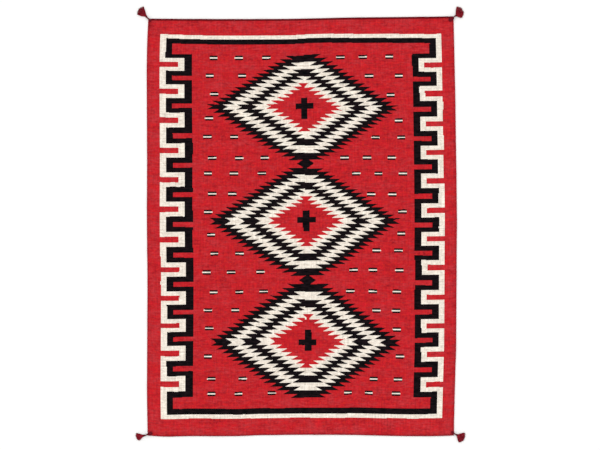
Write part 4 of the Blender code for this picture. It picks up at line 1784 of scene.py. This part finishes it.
    def dress(self, ground: Ground) -> Piece:
        """Build the tassel in place of its solid.

        Args:
            ground: The frame to place it in.

        Returns:
            The tassel.
        """
        place = self.corner.name
        name = "maroon_tassel_wool_" + place
        wool = TwistedWool(name, self.deep, self.dyed, self.strands, self.bound_tone).material()
        neck, binding = (
            [BOUND_SHARE * share for share in band] for band in (self.neck_band, self.binding_band)
        )
        whole = Surface.joined([
            self.fan_surface().mapped(BOUND_SHARE, 1.0),
            self.neck_surface().mapped(*neck),
            self.binding_surface().mapped(*binding),
        ])
        whole.points[:, 2] = np.maximum(whole.points[:, 2], 0.0)
        tassel = whole.to_object("yarn_tassel_" + place, ground, wool)
        return attach(tassel, "tassel_" + place)


@dataclass(frozen=True)
class Studio:
    """The pale floor, the soft light and the camera straight above the rug."""

    ground: Ground
    floor_half: float = 90000.0
    floor_drop: float = 0.3
    camera_height: float = 9000.0
    sensor: float = 36.0
    sight: float = 200.0
    floor_colour: str = "#f8f8f7"
    sky_colour: str = "#ffffff"
    sky_strength: float = 1.0
    sun_strength: float = 0.46
    sun_spread: float = 35.0
    sun_turn: tuple = (-38.0, -32.0, 0.0)

    def build_floor(self) -> Piece:
        """Lay a large pale floor just below the rug.

        Returns:
            The floor.
        """
        half = self.floor_half
        corners = np.array([(-half, -half), (half, -half), (half, half), (-half, half)])
        points = np.concatenate([corners, np.full((4, 1), -self.floor_drop)], axis=1)
        uv = np.array([[(0.0, 0.0), (1.0, 0.0), (1.0, 1.0), (0.0, 1.0)]])
        # Studio paper: the eye sees an even matt white with no shine
        made = new_finish("matt_white_floor_paper", roughness=1.0, specular=0.0, sheen=0.0)
        shader = made.node_tree.nodes["Principled BSDF"]
        shader.inputs["Base Color"].default_value = linear(self.floor_colour)
        floor = Surface(points, np.array([[0, 1, 2, 3]]), uv).to_object("pale_floor", self.ground, made)
        return floor

    def build_light(self) -> None:
        """Light the scene with a white surround and one broad soft sun."""
        world = bpy.data.worlds.new("white_surround")
        world.use_nodes = True
        sky = world.node_tree.nodes["Background"]
        sky.inputs["Color"].default_value = linear(self.sky_colour)
        sky.inputs["Strength"].default_value = self.sky_strength
        bpy.context.scene.world = world
        light = bpy.data.lights.new("broad_soft_light", "SUN")
        light.energy = self.sun_strength
        light.angle = math.radians(self.sun_spread)
        sun = bpy.data.objects.new("broad_soft_light", light)
        sun.rotation_euler = tuple(math.radians(turn) for turn in self.sun_turn)
        bpy.context.scene.collection.objects.link(sun)

    def build_camera(self) -> None:
        """Look straight down on the rug, framed as the photo is."""
        lens = bpy.data.cameras.new("overhead_camera")
        lens.sensor_width = self.sensor
        lens.lens = self.sensor * self.camera_height / (PHOTO_WIDTH * PIXEL)
        lens.clip_end = self.sight
        camera = bpy.data.objects.new("overhead_camera", lens)
        spot = np.array((*PHOTO_MIDDLE, self.camera_height))
        camera.location = self.ground.metres(spot)
        bpy.context.scene.collection.objects.link(camera)
        bpy.context.scene.camera = camera


def main() -> None:
    """Build the studio, then the trims, then the cloth that they are sewn to."""
    logging.basicConfig(level=logging.INFO, format="%(message)s")
    bpy.context.scene.view_settings.view_transform = "Standard"
    outline = Outline()
    ground = Ground.from_frame(outline)
    studio = Studio(ground)
    studio.build_floor()
    studio.build_light()
    studio.build_camera()

    # Hard twisted maroon wool: the eye sees it nearly black in the grooves
    maroon = TwistedWool("maroon_cord_wool", "#4a0713", "#8e1528").material()
    # The same wool worn and faded, a dusty rose red
    faded = TwistedWool("faded_maroon_cord_wool", "#7c1626", "#b32d3f").material()
    # The side cords' wool, a cooler red than the cloth beside it
    red = TwistedWool("red_side_cord_wool", "#98192a", "#c42a3a").material()
    end_section = YarnSection(outline.end_cord / 2, plies=3, lay=17.0, sides=18)
    side_section = YarnSection(outline.side_cord / 2, plies=3, lay=14.0, sides=15)
    cords = (
        ("end_cord_top", True, 1, end_section, maroon, "maroon_yarn"),
        ("end_cord_bottom", True, -1, end_section, faded, "maroon_yarn"),
        ("side_cord_left", False, -1, side_section, red, "side_yarn"),
        ("side_cord_right", False, 1, side_section, red, "side_yarn"),
    )
    trims = []
    for place, across, toward, section, wool, slot in cords:
        trims.append(EdgeCord(outline, place, across, toward, section).dress(ground, wool, slot))
    for corner in CORNERS:
        trims.append(CornerKnot(corner).dress(ground, maroon))
        trims.append(Tassel(corner).dress(ground))
    cloth = WovenField(outline).dress(ground, trims)
    for piece in (*trims, cloth):
        LOG.info("%s: %d faces", piece.name, len(piece.data.polygons))


if __name__ == "__main__":
    main()
